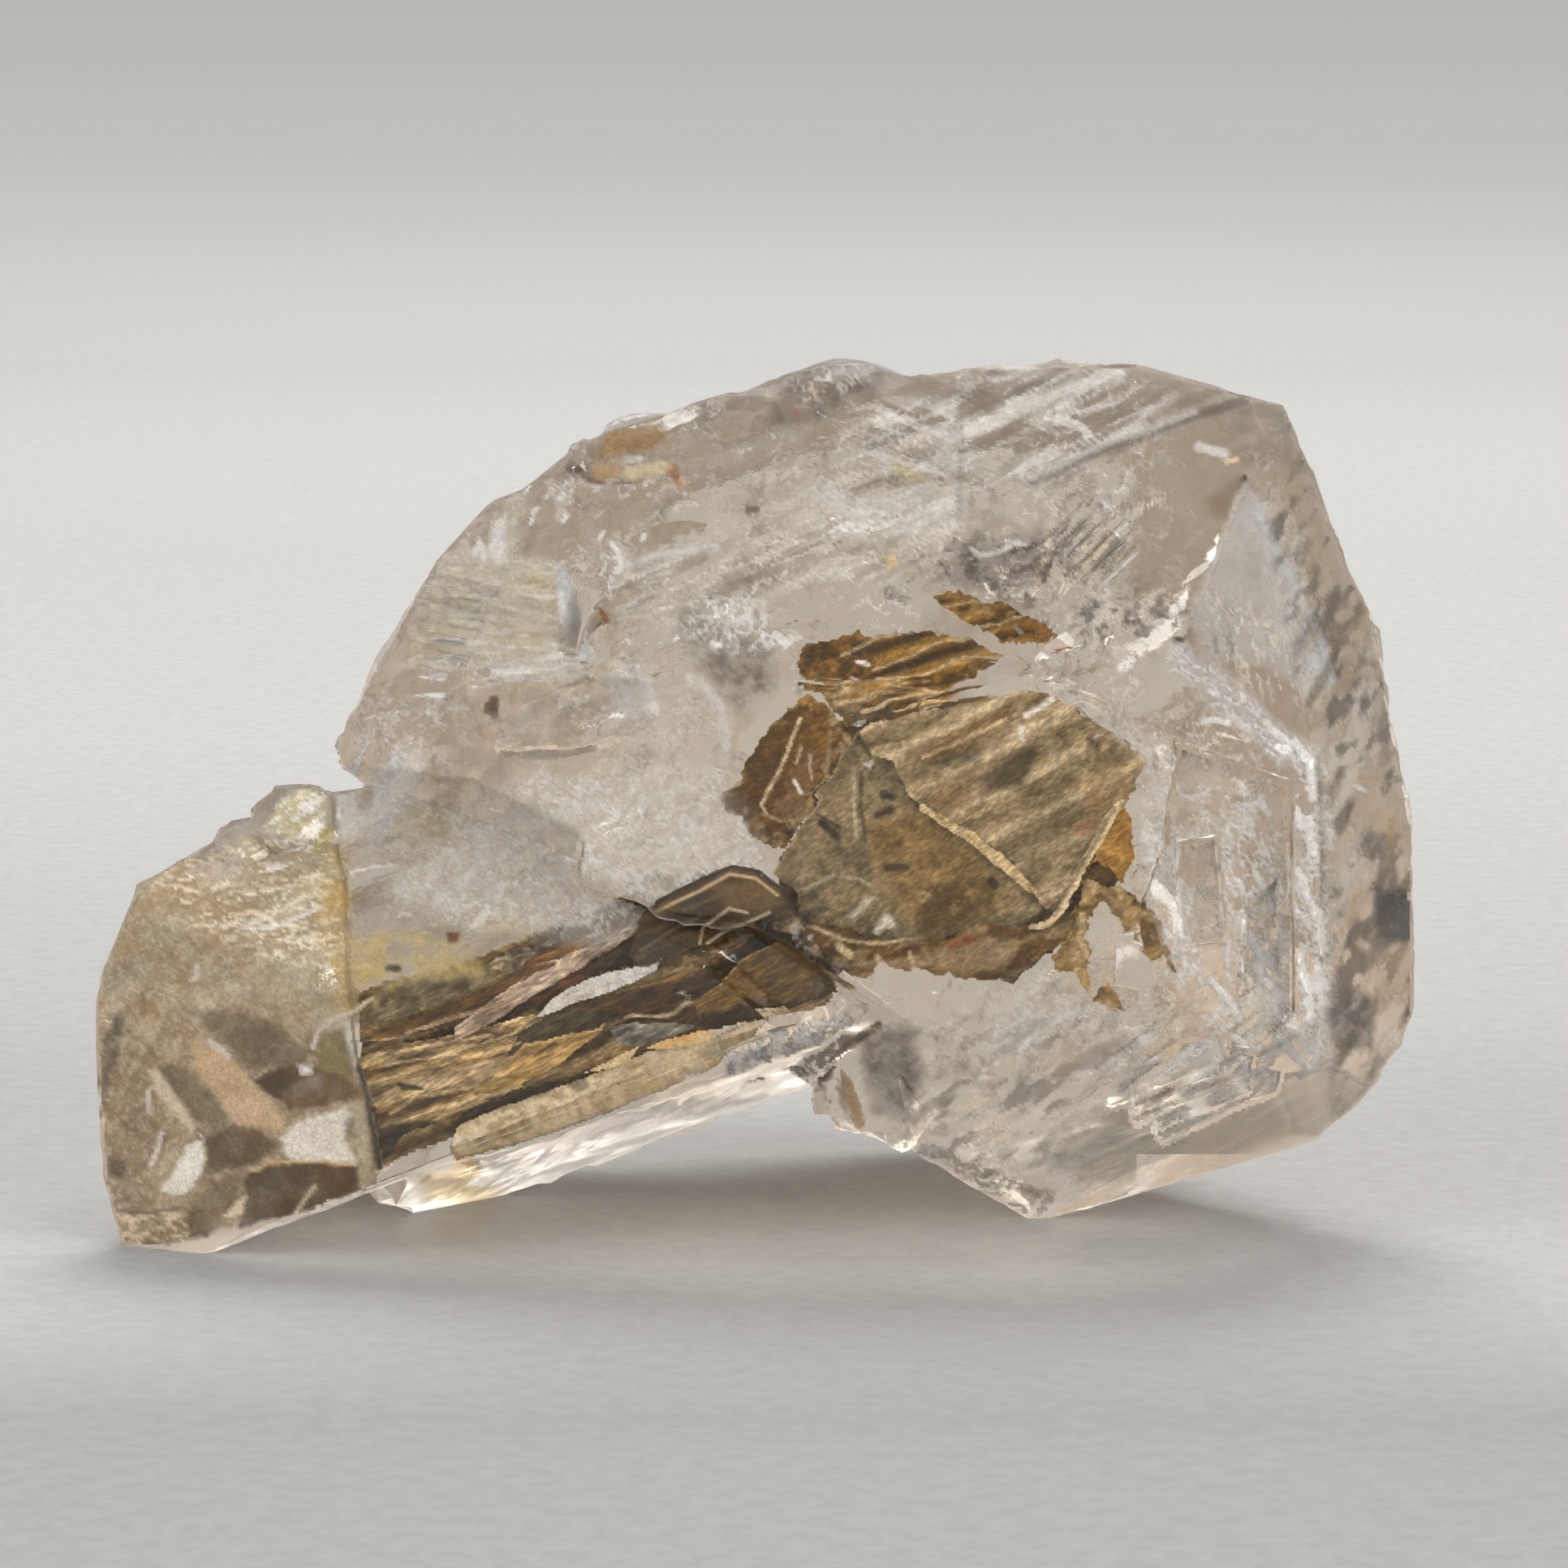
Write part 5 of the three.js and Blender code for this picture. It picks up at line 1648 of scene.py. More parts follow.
def upper_streaks(v):
    """Streaks across the upper middle; the pale streaks and marks are painted reflections."""
    upper = [(748, 715), (819, 688), (971, 661), (1060, 500), (1180, 487), (1180, 688), (971, 724),
        (819, 759), (766, 750)]
    v.streaks(upper, 20, 9, 90, PEARL, 0.50, 11, 0.0, 0.35)
    v.threads(upper, 22, 12, 110, ICE, 0.50, 12, 0.10)
    v.streaks(upper, 24, 8, 70, SMOKE, 0.22, 13, 0.1, 0.4)
    streaked = [(1078, 500), (1180, 500), (1180, 612), (1096, 608), (1060, 590)]
    v.streaks(streaked, -22, 9, 80, ICE, 0.55, 14, -0.1, 0.3)
    streaked = [(1016, 608), (1180, 599), (1180, 670), (1051, 670)]
    v.streaks(streaked, 22, 20, 90, ICE, 0.40, 15, -0.2, 0.3)
    lines = (
        ([(1056, 616), (1069, 628), (1088, 632)], 3, ICE, 0.6),
        ([(766, 699), (819, 683), (882, 674)], 3, ICE, 0.4, 8),
    )
    each(v.mark, lines)
    stains = (
        ([(1096, 570), (1123, 576), (1150, 599), (1101, 585)], YELLOW, 0.4, 8),
        ([(1092, 688), (1105, 683), (1107, 697), (1094, 706)], (238, 214, 172), 0.8, 4),
    )
    each(v.area, stains)


def upper_right(v):
    """Streaks and the long step at the upper right, with painted reflections, highlights and shade."""
    right_top = [(1165, 473), (1378, 452), (1447, 482), (1404, 543), (1282, 595), (1187, 595), (1152, 543)]
    v.streaks(right_top, 24, 10, 70, ICE, 0.50, 21, 0.0, 0.35)
    v.streaks(right_top, 24, 8, 60, SMOKE, 0.18, 22, 0.1, 0.4)
    # the long step: a pale line of painted highlight just above a smoky line of painted shade, more pale
    # lines of painted highlight further up
    lines = (
        ([(1193, 534), (1273, 499), (1308, 484), (1378, 460)], 6, ICE, 0.55, 10),
        ([(1304, 519), (1326, 523), (1341, 536)], 5, ICE, 0.6, 5),
        ([(1273, 594), (1343, 560), (1404, 538), (1473, 512), (1534, 495)], 4, SMOKE, 0.40, 8),
        ([(1273, 590), (1343, 556), (1404, 534), (1473, 508)], 3, ICE, 0.35, 6),
        ([(1185, 478), (1183, 543), (1182, 638)], 2, SMOKE, 0.16, 6),
    )
    each(v.mark, lines)
    stain = [(1473, 508), (1586, 495), (1603, 543), (1620, 612), (1573, 573), (1534, 573)]
    v.area(stain, SMOKE, 0.16, 14, 16, 23)
    threaded = [(1525, 573), (1586, 495), (1599, 534), (1560, 612)]
    v.threads(threaded, 55, 8, 40, HAZE, 0.35, 24)
    lines = (
        ([(1512, 571), (1523, 567)], 5, (250, 226, 186), 0.9, 3),
        ([(1477, 551), (1508, 560)], 6, ICE, 0.5, 6),
        ([(1360, 621), (1362, 623)], 4, ICE, 0.7),
    )
    each(v.mark, lines)


def combed_patch(v):
    """Combed patch of parallel lines."""
    comb = [(1291, 647), (1334, 638), (1399, 673), (1360, 708), (1317, 708), (1265, 729)]
    v.streaks(comb, 50, 5.5, 70, SMOKE, 0.42, 31, -0.05, 0.3, 8)
    v.threads(comb, 50, 7, 60, (232, 214, 188), 0.75, 32, 0.2, 8)
    threaded = [(1273, 599), (1308, 621), (1334, 647), (1291, 638)]
    v.threads(threaded, 45, 6, 30, PEARL, 0.6, 33, 0.2, 8)


def crumbled_ground(v):
    """Crumbled and granular ground round the combs."""
    crumb = [(1126, 690), (1187, 664), (1291, 647), (1343, 734), (1469, 729), (1460, 799), (1343, 812),
        (1317, 734), (1230, 760), (1165, 725)]
    v.threads(crumb, 30, 10, 18, PEARL, 0.5, 41, 0.14)
    v.streaks(crumb, 30, 10, 14, SMOKE, 0.55, 42, 0.0, 0.35)
    stain = [(1178, 673), (1282, 656), (1291, 708), (1230, 742), (1169, 716)]
    v.area(stain, SMOKE, 0.30, 14)
    line = [(1196, 676), (1208, 686), (1230, 682), (1250, 669), (1263, 671)]
    v.mark(line, 3, ICE, 0.6)
    threaded = [(1343, 729), (1378, 734), (1378, 820), (1343, 820)]
    v.threads(threaded, 75, 9, 40, PEARL, 0.5, 43, 0.2, 8)


def silver_grain_glints(v):
    """Painted glints on the silver grains, and the smoky hollow left of the clay."""
    silver = [(855, 741), (931, 728), (953, 777), (989, 786), (944, 813), (882, 804), (837, 777)]
    v.threads(silver, 50, 8, 16, ICE, 0.85, 51, 0.26, 8)
    stains = (
        ([(882, 750), (926, 746), (931, 777), (895, 791)], ICE, 0.5, 8, 8, 52),
        ([(846, 750), (882, 768), (953, 799), (953, 849), (909, 875), (873, 831), (837, 777)],
         SMOKE, 0.45, 14, 12, 53, 0.3),
    )
    each(v.area, stains)
    streaked = [(819, 750), (864, 715), (926, 697), (944, 715), (882, 750)]
    v.streaks(streaked, 20, 9, 60, SMOKE, 0.25, 54)
    # small painted glints
    for x, y in [(833, 791), (884, 799), (935, 777), (971, 797), (926, 802)]:
        v.mark([(x - 2, y), (x + 2, y - 4)], 3, ICE, 0.9, 2)


def scoop_shells(v):
    """Curved shells of the scoop."""
    lines = (
        ([(792, 840), (806, 862), (810, 880), (804, 871)], 4, ICE, 0.45, 6),
        ([(851, 835), (873, 851), (888, 871), (893, 902), (895, 924)], 4, ICE, 0.45, 6),
    )
    each(v.mark, lines)
    streaked = [(730, 835), (792, 813), (819, 822), (900, 924), (882, 951), (810, 947), (748, 911)]
    v.streaks(streaked, -35, 9, 60, PEARL, 0.26, 61, 0.0, 0.4)
    stains = (
        ([(743, 835), (784, 822), (801, 849), (792, 884), (757, 875)], BLUISH, 0.30, 14),
        ([(529, 902), (614, 866), (703, 853), (730, 893), (721, 942), (650, 969), (569, 996), (520, 974)],
         (150, 134, 116), 0.22, 20, 30, 62),
    )
    each(v.area, stains)
    lines = (
        ([(601, 875), (609, 862), (610, 880)], 6, (110, 84, 50), 0.8, 5),
        ([(739, 753), (746, 764)], 4, (150, 96, 50), 0.8, 4),
    )
    each(v.mark, lines)


def striated_column(v):
    """The striated column, and beside it bright facets with painted highlights and glints."""
    column = [(556, 688), (681, 699), (694, 804), (507, 815), (525, 732)]
    v.area(column, PEARL, 0.34, 16)
    v.area(column, YELLOW, 0.24, 16, 40, 71, 0.4)
    v.streaks(column, -5, 5, 60, ICE, 0.55, 72, 0.0, 0.3)
    v.streaks(column, -8, 4, 34, (120, 104, 78), 0.26, 73, 0.12, 0.4)
    # the bright facets beside the column: painted highlights
    stains = (
        ([(609, 643), (623, 634), (627, 688), (614, 695), (601, 683)], ICE, 0.75, 5),
        ([(623, 601), (646, 599), (646, 630), (627, 692), (622, 652)], HAZE, 0.45, 6),
        ([(685, 697), (699, 701), (714, 759), (730, 808), (717, 813), (694, 777)], BLUISH, 0.60, 5),
    )
    each(v.area, stains)
    lines = (
        ([(690, 732), (703, 786), (690, 808), (668, 813)], 4, ICE, 0.6, 5),
        ([(585, 683), (592, 670), (597, 688)], 5, ICE, 0.8, 4),
    )
    each(v.mark, lines)
    threaded = [(730, 697), (766, 670), (770, 706), (748, 741)]
    v.threads(threaded, 60, 6, 30, ICE, 0.7, 74, 0.25, 8)
    lines = (
        ([(753, 670), (762, 681), (766, 701)], 3.5, ICE, 0.8, 3),
        ([(609, 828), (627, 827), (652, 826)], 5, ICE, 0.8, 4),
    )
    each(v.mark, lines)
    streaked = [(480, 822), (587, 817), (721, 804), (730, 835), (596, 849), (480, 875)]
    v.streaks(streaked, 8, 8, 70, ICE, 0.5, 75)
    # small painted glints
    for x, y in [(650, 603), (659, 630), (656, 643), (692, 612), (697, 639), (741, 661), (792, 663)]:
        v.mark([(x - 2, y + 3), (x + 2, y - 3)], 4, ICE, 0.9, 3)
    stain = [(681, 599), (699, 599), (703, 630), (690, 643)]
    v.area(stain, ICE, 0.4, 8, 8, 76)


def top_left_stains(v):
    """Yellow and ochre stains at the top left."""
    stains = (
        ([(757, 529), (775, 524), (819, 523), (822, 549), (792, 558), (757, 567), (730, 567)],
         (178, 142, 84), 0.72, 8, 14, 81, 0.75),
        ([(728, 572), (761, 572), (766, 585), (730, 596)], (214, 184, 140), 0.75, 4),
        ([(769, 577), (828, 565), (833, 574), (808, 590), (770, 593)], (232, 216, 184), 0.9, 3),
        ([(822, 574), (837, 572), (840, 599), (833, 603)], (196, 140, 80), 0.7, 6),
        ([(699, 576), (723, 570), (726, 592), (705, 590)], (92, 74, 44), 0.75, 5, 8, 82, 0.4),
    )
    each(v.area, stains)
    line = [(725, 592), (748, 599), (792, 593)]
    v.mark(line, 3, (110, 84, 60), 0.6, 3)
    stains = (
        ([(993, 476), (1011, 478), (1013, 489), (998, 491)], (206, 160, 120), 0.5, 8),
        ([(976, 500), (989, 505), (984, 514)], (200, 140, 100), 0.6, 6),
        ([(819, 621), (837, 612), (819, 639), (792, 657)], (116, 96, 60), 0.5, 6, 8, 83),
    )
    each(v.area, stains)
    line = [(922, 630), (933, 628)]
    v.mark(line, 3, (90, 76, 60), 0.6, 4)


def top_knob(v):
    """The knob on the top edge, and faint streaks along the rest of the edge."""
    stain = [(953, 500), (984, 451), (1016, 431), (1056, 429), (1105, 451), (1078, 482), (1007, 518),
        (949, 527)]
    v.area(stain, (120, 108, 94), 0.60, 12, 12, 84, 0.4)
    threaded = [(971, 465), (1034, 433), (1078, 447), (1060, 482), (993, 500)]
    v.threads(threaded, 20, 9, 14, ICE, 0.5, 85)
    streaked = [(620, 470), (940, 440), (1400, 440), (1600, 490), (1580, 530), (1300, 490), (950, 500),
        (640, 600)]
    v.streaks(streaked, 12, 16, 60, SMOKE, 0.14, 86)


def fine_cracks(v):
    """Fine cracks and needles, in patches all through the clear body."""
    body = [(420, 800), (640, 480), (1020, 440), (1400, 440), (1480, 620), (1400, 860), (1420, 1240),
        (1240, 1330), (1030, 1300), (1010, 1240), (900, 1070), (480, 1150), (440, 960)]
    for angle, across, length, colour, cover, seed in (
        (38, 10, 34, ICE, 0.36, 91),
        (-35, 10, 28, PEARL, 0.28, 92),
        (72, 12, 44, (150, 134, 114), 0.26, 93),
        (20, 9, 60, (140, 124, 106), 0.22, 94),
    ):
        thin = 1 - smooth(0.04, 0.13, np.abs(v.blotches(across, seed, length / across, angle)))
        v.dab(patch(v.q, body, 24) * thin * smooth(0.0, 0.3, v.blotches(55, seed + 5)), colour, cover, 0.2)


def triangular_face(v):
    """The triangular face, its bright borders and fibres."""
    stains = (
        ([(1532, 599), (1560, 638), (1599, 734), (1640, 846), (1620, 864), (1560, 820), (1490, 812),
          (1460, 768)], BLUISH, 0.24, 8),
        ([(1534, 601), (1553, 621), (1581, 682), (1605, 729), (1590, 729), (1560, 664)], BLUISH, 0.42, 8),
    )
    each(v.area, stains)
    threaded = [(1490, 734), (1577, 760), (1638, 846), (1612, 881), (1534, 846), (1490, 812)]
    v.threads(threaded, 100, 8, 60, (238, 230, 210), 0.5, 11, 0.16)
    streaked = [(1482, 751), (1534, 760), (1534, 820), (1482, 812)]
    v.streaks(streaked, 100, 8, 40, (140, 124, 100), 0.35, 12)
    line = [(1612, 755), (1627, 790), (1642, 838)]
    v.mark(line, 5, BLUISH, 0.55, 6)
    stains = (
        ([(1594, 794), (1620, 799), (1642, 842), (1629, 851), (1599, 820)], BLUISH, 0.45, 8, 10, 13),
        ([(1486, 616), (1529, 590), (1534, 603), (1512, 638), (1490, 634)], (148, 126, 98), 0.45, 10),
    )
    each(v.area, stains)
    lines = (
        ([(1534, 590), (1527, 603)], 3, (70, 52, 40), 0.8, 3),
        ([(1460, 768), (1490, 708), (1532, 599)], 3, HAZE, 0.4, 6),
    )
    each(v.mark, lines)


def pale_band(v):
    """The pale band above the window."""
    band = [(1447, 790), (1490, 816), (1534, 851), (1568, 890), (1616, 924), (1620, 950), (1581, 937),
        (1538, 907), (1490, 868), (1438, 820)]
    v.area(band, BLUISH, 0.42, 10, 14, 21, 0.5)
    v.threads(band, -32, 7, 30, ICE, 0.6, 22, 0.2, 8)
    # the small near-white marks are painted glints
    lines = (
        ([(1482, 890), (1495, 887), (1513, 892)], 5, ICE, 0.95, 3),
        ([(1559, 891), (1568, 901), (1582, 911)], 6, ICE, 0.9, 4),
        ([(1492, 853), (1500, 856)], 5, ICE, 0.9, 3),
        ([(1536, 992), (1551, 989)], 5, ICE, 0.95, 3),
        ([(1456, 789), (1447, 788)], 4, (60, 46, 38), 0.8, 3),
    )
    each(v.mark, lines)


def herringbone(v):
    """Herringbone hatching."""
    hatch = [(1360, 864), (1404, 898), (1473, 864), (1490, 890), (1534, 916), (1430, 963), (1399, 950)]
    v.threads(hatch, 62, 7, 24, PEARL, 0.6, 23, 0.2)
    v.streaks(hatch, 62, 7, 20, (130, 114, 92), 0.3, 24)
    lines = (
        ([(1358, 853), (1371, 864), (1378, 885), (1380, 898)], 3.5, HAZE, 0.6, 4),
        ([(1378, 885), (1395, 820), (1399, 807)], 3.5, HAZE, 0.5, 4),
    )
    each(v.mark, lines)


def window_cells(v):
    """The window, with its cellular lines."""
    stain = [(1395, 940), (1480, 930), (1520, 1010), (1500, 1190), (1445, 1230), (1400, 1120)]
    v.area(stain, ICE, 0.20, 12, 14, 31)
    for x0, x1 in ((1449, 1452), (1492, 1506)):
        v.mark([(x0, 1034), (x1, 1110), (x1 + 6, 1190)], 3, ICE, 0.8, 3)
    line = [(1449, 1034), (1492, 1030)]
    v.mark(line, 3, ICE, 0.8, 3)
    stain = [(1405, 1020), (1445, 1030), (1450, 1100), (1410, 1090)]
    v.area(stain, ICE, 0.60, 6, 10, 32)
    threads = (
        ([(1400, 930), (1640, 930), (1640, 1320), (1540, 1250), (1440, 1220), (1400, 1100)],
         -50, 18, 28, ICE, 0.75, 33, 0.10),
        ([(1510, 950), (1640, 950), (1640, 1320), (1520, 1200)], 80, 13, 26, ICE, 0.75, 34, 0.14),
    )
    each(v.threads, threads)
    stain = [(1520, 1040), (1610, 1060), (1625, 1300), (1560, 1260), (1520, 1160)]
    v.area(stain, (176, 158, 132), 0.22, 10, 16, 35)


def front_edge(v):
    """The bright front edge: a chain of lozenges, feathers beside it and a rounded corner."""
    lines = (
        ([(1623, 932), (1627, 1009), (1628, 1102), (1627, 1185)], 2.5, (150, 136, 116), 0.55, 3),
        ([(1623, 1190), (1628, 1257), (1625, 1289), (1615, 1317), (1600, 1325)], 4, ICE, 0.85, 3),
    )
    each(v.mark, lines)
    for lozenge in (
        [(1595, 915), (1613, 938)],
        [(1614, 947), (1617, 984)],
        [(1598, 997), (1603, 1020)],
        [(1612, 1009), (1617, 1051)],
        [(1600, 1075), (1611, 1102)],
        [(1611, 1105), (1619, 1126)],
        [(1624, 1123), (1630, 1172)],
        [(1602, 1179), (1612, 1221)],
        [(1611, 1232), (1615, 1257)],
    ):
        v.mark(lozenge, 8, ICE, 0.97, 3)
    for feather in (
        [(1549, 1078), (1560, 1097), (1568, 1120)],
        [(1539, 1149), (1553, 1175), (1574, 1193)],
        [(1548, 1191), (1569, 1216), (1585, 1232)],
        [(1564, 1230), (1579, 1252), (1593, 1271)],
        [(1575, 1273), (1595, 1299), (1611, 1315)],
        [(1522, 1278), (1548, 1304)],
        [(1491, 1206), (1517, 1237), (1528, 1257)],
        [(1579, 1154), (1595, 1175), (1600, 1201)],
        [(1552, 983), (1563, 1004)],
    ):
        v.mark(feather, 6, ICE, 0.9, 4)
    threaded = [(1512, 999), (1610, 1061), (1621, 1299), (1528, 1289)]
    v.threads(threaded, -58, 9, 60, ICE, 0.6, 38, 0.15)


def smoky_face(v):
    """Smoky patches on the right face."""
    face = [(1590, 520), (1660, 680), (1745, 900), (1752, 1240), (1640, 1400), (1636, 1000), (1600, 850),
        (1560, 640)]
    v.streaks(face, 62, 15, 40, SMOKE, 0.52, 41, -0.05, 0.35, 10)
    v.streaks(face, 62, 12, 50, (206, 184, 150), 0.30, 42, 0.0, 0.35, 10)
    stains = (
        ([(1690, 1095), (1738, 1100), (1742, 1155), (1700, 1165)], (60, 49, 40), 0.92, 8, 10, 43, 0.75),
        ([(1640, 1215), (1695, 1230), (1690, 1290), (1640, 1290)], (76, 62, 52), 0.7, 8, 10, 44, 0.5),
        ([(1660, 790), (1700, 830), (1690, 900), (1665, 860)], SMOKE, 0.5, 10, 12, 45),
        ([(1700, 1000), (1725, 1010), (1728, 1050), (1705, 1050)], (220, 186, 140), 0.35, 10),
        ([(1690, 1170), (1745, 1160), (1740, 1230), (1700, 1240)], (210, 178, 140), 0.35, 10),
    )
    each(v.area, stains)
    line = [(1668, 968), (1680, 974)]
    v.mark(line, 4, ICE, 0.8, 3)


def lower_ridges(v):
    """Parallel ridges under the window, and the faces below them."""
    ridges = [(1353, 1330), (1400, 1260), (1500, 1235), (1590, 1250), (1583, 1330), (1440, 1380)]
    v.streaks(ridges, 38, 6, 60, ICE, 0.62, 51, 0.0, 0.3, 10)
    v.streaks(ridges, 38, 5, 60, (120, 106, 88), 0.42, 52, 0.1, 0.4, 10)
    low = [(1040, 1280), (1240, 1250), (1380, 1240), (1400, 1330), (1330, 1420), (1250, 1480), (1120, 1400)]
    v.streaks(low, 35, 12, 50, ICE, 0.42, 53, 0.0, 0.35)
    v.streaks(low, 35, 10, 40, (110, 96, 82), 0.30, 54, 0.1, 0.4)
    stains = (
        ([(1240, 1200), (1400, 1220), (1380, 1290), (1260, 1300), (1130, 1260)], ICE, 0.25, 18, 20, 55),
        ([(1574, 1340), (1628, 1304), (1683, 1338), (1641, 1402), (1595, 1397)], (176, 172, 160), 0.28, 3),
    )
    each(v.area, stains)
    line = [(1628, 1304), (1683, 1336)]
    v.mark(line, 2, HAZE, 0.5, 3)
    stain = [(1290, 1433), (1393, 1351), (1465, 1376), (1574, 1340), (1595, 1397), (1538, 1418),
        (1362, 1459)]
    v.area(stain, (170, 167, 154), 0.38, 16)
    line = [(1520, 1372), (1560, 1330), (1640, 1312)]
    v.mark(line, 3, HAZE, 0.5, 4)


def arch_facet(v):
    """Smoky facet and cream wedge at the arch."""
    stains = (
        ([(1062, 1278), (1120, 1262), (1135, 1320), (1120, 1382), (1075, 1370)],
         (112, 98, 86), 0.55, 12, 18, 61, 0.5),
        ([(1036, 1318), (1050, 1330), (1066, 1385), (1056, 1392), (1040, 1350)], (240, 212, 176), 0.9, 3),
        ([(1030, 1326), (1040, 1345), (1046, 1378), (1034, 1350)], (200, 168, 132), 0.6, 3),
    )
    each(v.area, stains)
    line = [(1016, 1326), (1040, 1290), (1082, 1262)]
    v.mark(line, 7, (150, 118, 84), 0.7, 4)


def foot_crest(v):
    """Painted sparkles on the crest, and the pinkish lower edge."""
    crest = [(1040, 1390), (1120, 1400), (1200, 1430), (1300, 1470), (1285, 1505), (1225, 1480),
        (1160, 1425), (1060, 1410)]
    v.threads(crest, 20, 9, 14, ICE, 0.8, 62, 0.24, 6)
    v.streaks(crest, 20, 9, 14, (190, 152, 120), 0.5, 63, 0.0, 0.35, 6)


def block_body(v):
    """The tan body of the block."""
    body = [(201, 1069), (259, 1056), (312, 1034), (348, 1047), (424, 1092), (437, 1248), (392, 1271),
        (312, 1239), (227, 1244), (169, 1239), (107, 1302), (116, 1212), (138, 1177), (165, 1114)]
    v.area(body, (204, 186, 154), 0.72, 8)
    v.area(body, (188, 156, 112), 0.55, 8, 40, 13)
    lower = [(102, 1284), (165, 1208), (227, 1219), (330, 1233), (401, 1271), (451, 1346), (464, 1454),
        (366, 1489), (160, 1538), (107, 1494), (93, 1346)]
    v.area(lower, (204, 180, 144), 0.76, 7)
    v.area(lower, (158, 130, 96), 0.50, 7, 26, 14)
    v.streaks(lower, 60, 16, 60, (236, 218, 186), 0.40, 18)
    v.streaks(lower, 52, 14, 50, (122, 98, 68), 0.35, 19, 0.1, 0.4)
    v.streaks(body, 38, 26, 90, (240, 228, 204), 0.40, 16)
    v.streaks(body, -42, 20, 70, (150, 128, 98), 0.32, 17)
    v.threads(body, 24, 9, 26, (240, 230, 208), 0.34, 24, 0.12)
    v.streaks(lower, -38, 8, 30, (122, 100, 72), 0.42, 25, 0.0, 0.35)
    v.threads(lower, 40, 9, 24, (234, 218, 190), 0.34, 26, 0.12)


def block_top(v):
    """Wavy bright lines on the etched top of the block."""
    top = [(169, 1110), (196, 1074), (312, 1034), (401, 1016), (428, 1123), (419, 1195), (330, 1186),
        (259, 1150)]
    v.threads(top, 10, 9, 60, (255, 246, 226), 0.85, 11, 0.12)
    v.streaks(top, 10, 8, 50, (176, 156, 124), 0.40, 12)
    stains = (
        ([(223, 1076), (294, 1052), (303, 1065), (285, 1081)], (206, 190, 178), 0.7, 4),
        ([(268, 1096), (330, 1047), (366, 1061), (330, 1096), (290, 1110)],
         (190, 170, 142), 0.5, 8, 16, 15),
    )
    each(v.area, stains)
    lines = (
        ([(290, 1129), (308, 1125), (323, 1127)], 2.5, (250, 226, 196), 0.9, 2),
        ([(330, 1071), (348, 1068)], 4, ICE, 0.95, 3),
        ([(303, 1145), (348, 1141), (384, 1123), (401, 1119)], 2, ICE, 0.85, 3),
        ([(299, 1141), (330, 1132), (366, 1110), (410, 1096)], 2, PEARL, 0.7, 3),
    )
    each(v.mark, lines)


def yellow_lobe(v):
    """The yellow lobe and stains along the seam."""
    stain = [(330, 1016), (348, 985), (384, 969), (401, 980), (399, 1034), (366, 1038)]
    v.area(stain, (236, 224, 178), 0.65, 6, 16, 21, 0.5)
    threaded = [(321, 1016), (348, 985), (401, 971), (399, 1038), (348, 1038)]
    v.threads(threaded, 35, 7, 30, ICE, 0.9, 22, 0.2, 6)
    line = [(370, 996), (392, 987)]
    v.mark(line, 5, ICE, 0.95, 3)
    stains = (
        ([(388, 1007), (419, 1034), (428, 1096), (424, 1257), (410, 1271), (392, 1150)],
         (214, 190, 116), 0.60, 8, 26, 23, 0.3),
        ([(428, 1150), (509, 1150), (593, 1168), (593, 1204), (526, 1204), (437, 1212)],
         (222, 200, 138), 0.60, 12, 26, 24, 0.2),
        ([(482, 1016), (549, 989), (562, 1034), (509, 1047)], (206, 190, 140), 0.25, 16),
    )
    each(v.area, stains)
    line = [(406, 945), (413, 1034), (425, 1088), (428, 1186), (437, 1284), (442, 1315)]
    v.mark(line, 2, (150, 130, 92), 0.6, 3)


def seam_folds(v):
    """Pale folds and small spots beside the seam."""
    stain = [(413, 980), (437, 967), (442, 1003), (424, 1029), (414, 1016)]
    v.area(stain, ICE, 0.6, 8)
    line = [(419, 1034), (459, 1007), (491, 976), (509, 954)]
    v.mark(line, 9, ICE, 0.45, 12)
    streaked = [(406, 927), (464, 900), (526, 945), (509, 1016), (437, 1047)]
    v.streaks(streaked, 60, 12, 60, BLUISH, 0.45, 31)
    lines = (
        ([(433, 1076), (455, 1070), (482, 1067)], 3, ICE, 0.9, 3),
        ([(584, 1141), (598, 1123), (601, 1119), (593, 1137)], 5, ICE, 0.95, 3),
    )
    each(v.mark, lines)
    stain = [(551, 1150), (569, 1150), (564, 1163), (553, 1163)]
    v.area(stain, (124, 74, 36), 0.9, 3)
    lines = (
        ([(477, 1194), (491, 1194)], 4, (60, 50, 36), 0.9, 3),
        ([(683, 1130), (695, 1131)], 4, (80, 66, 52), 0.8, 3),
    )
    each(v.mark, lines)


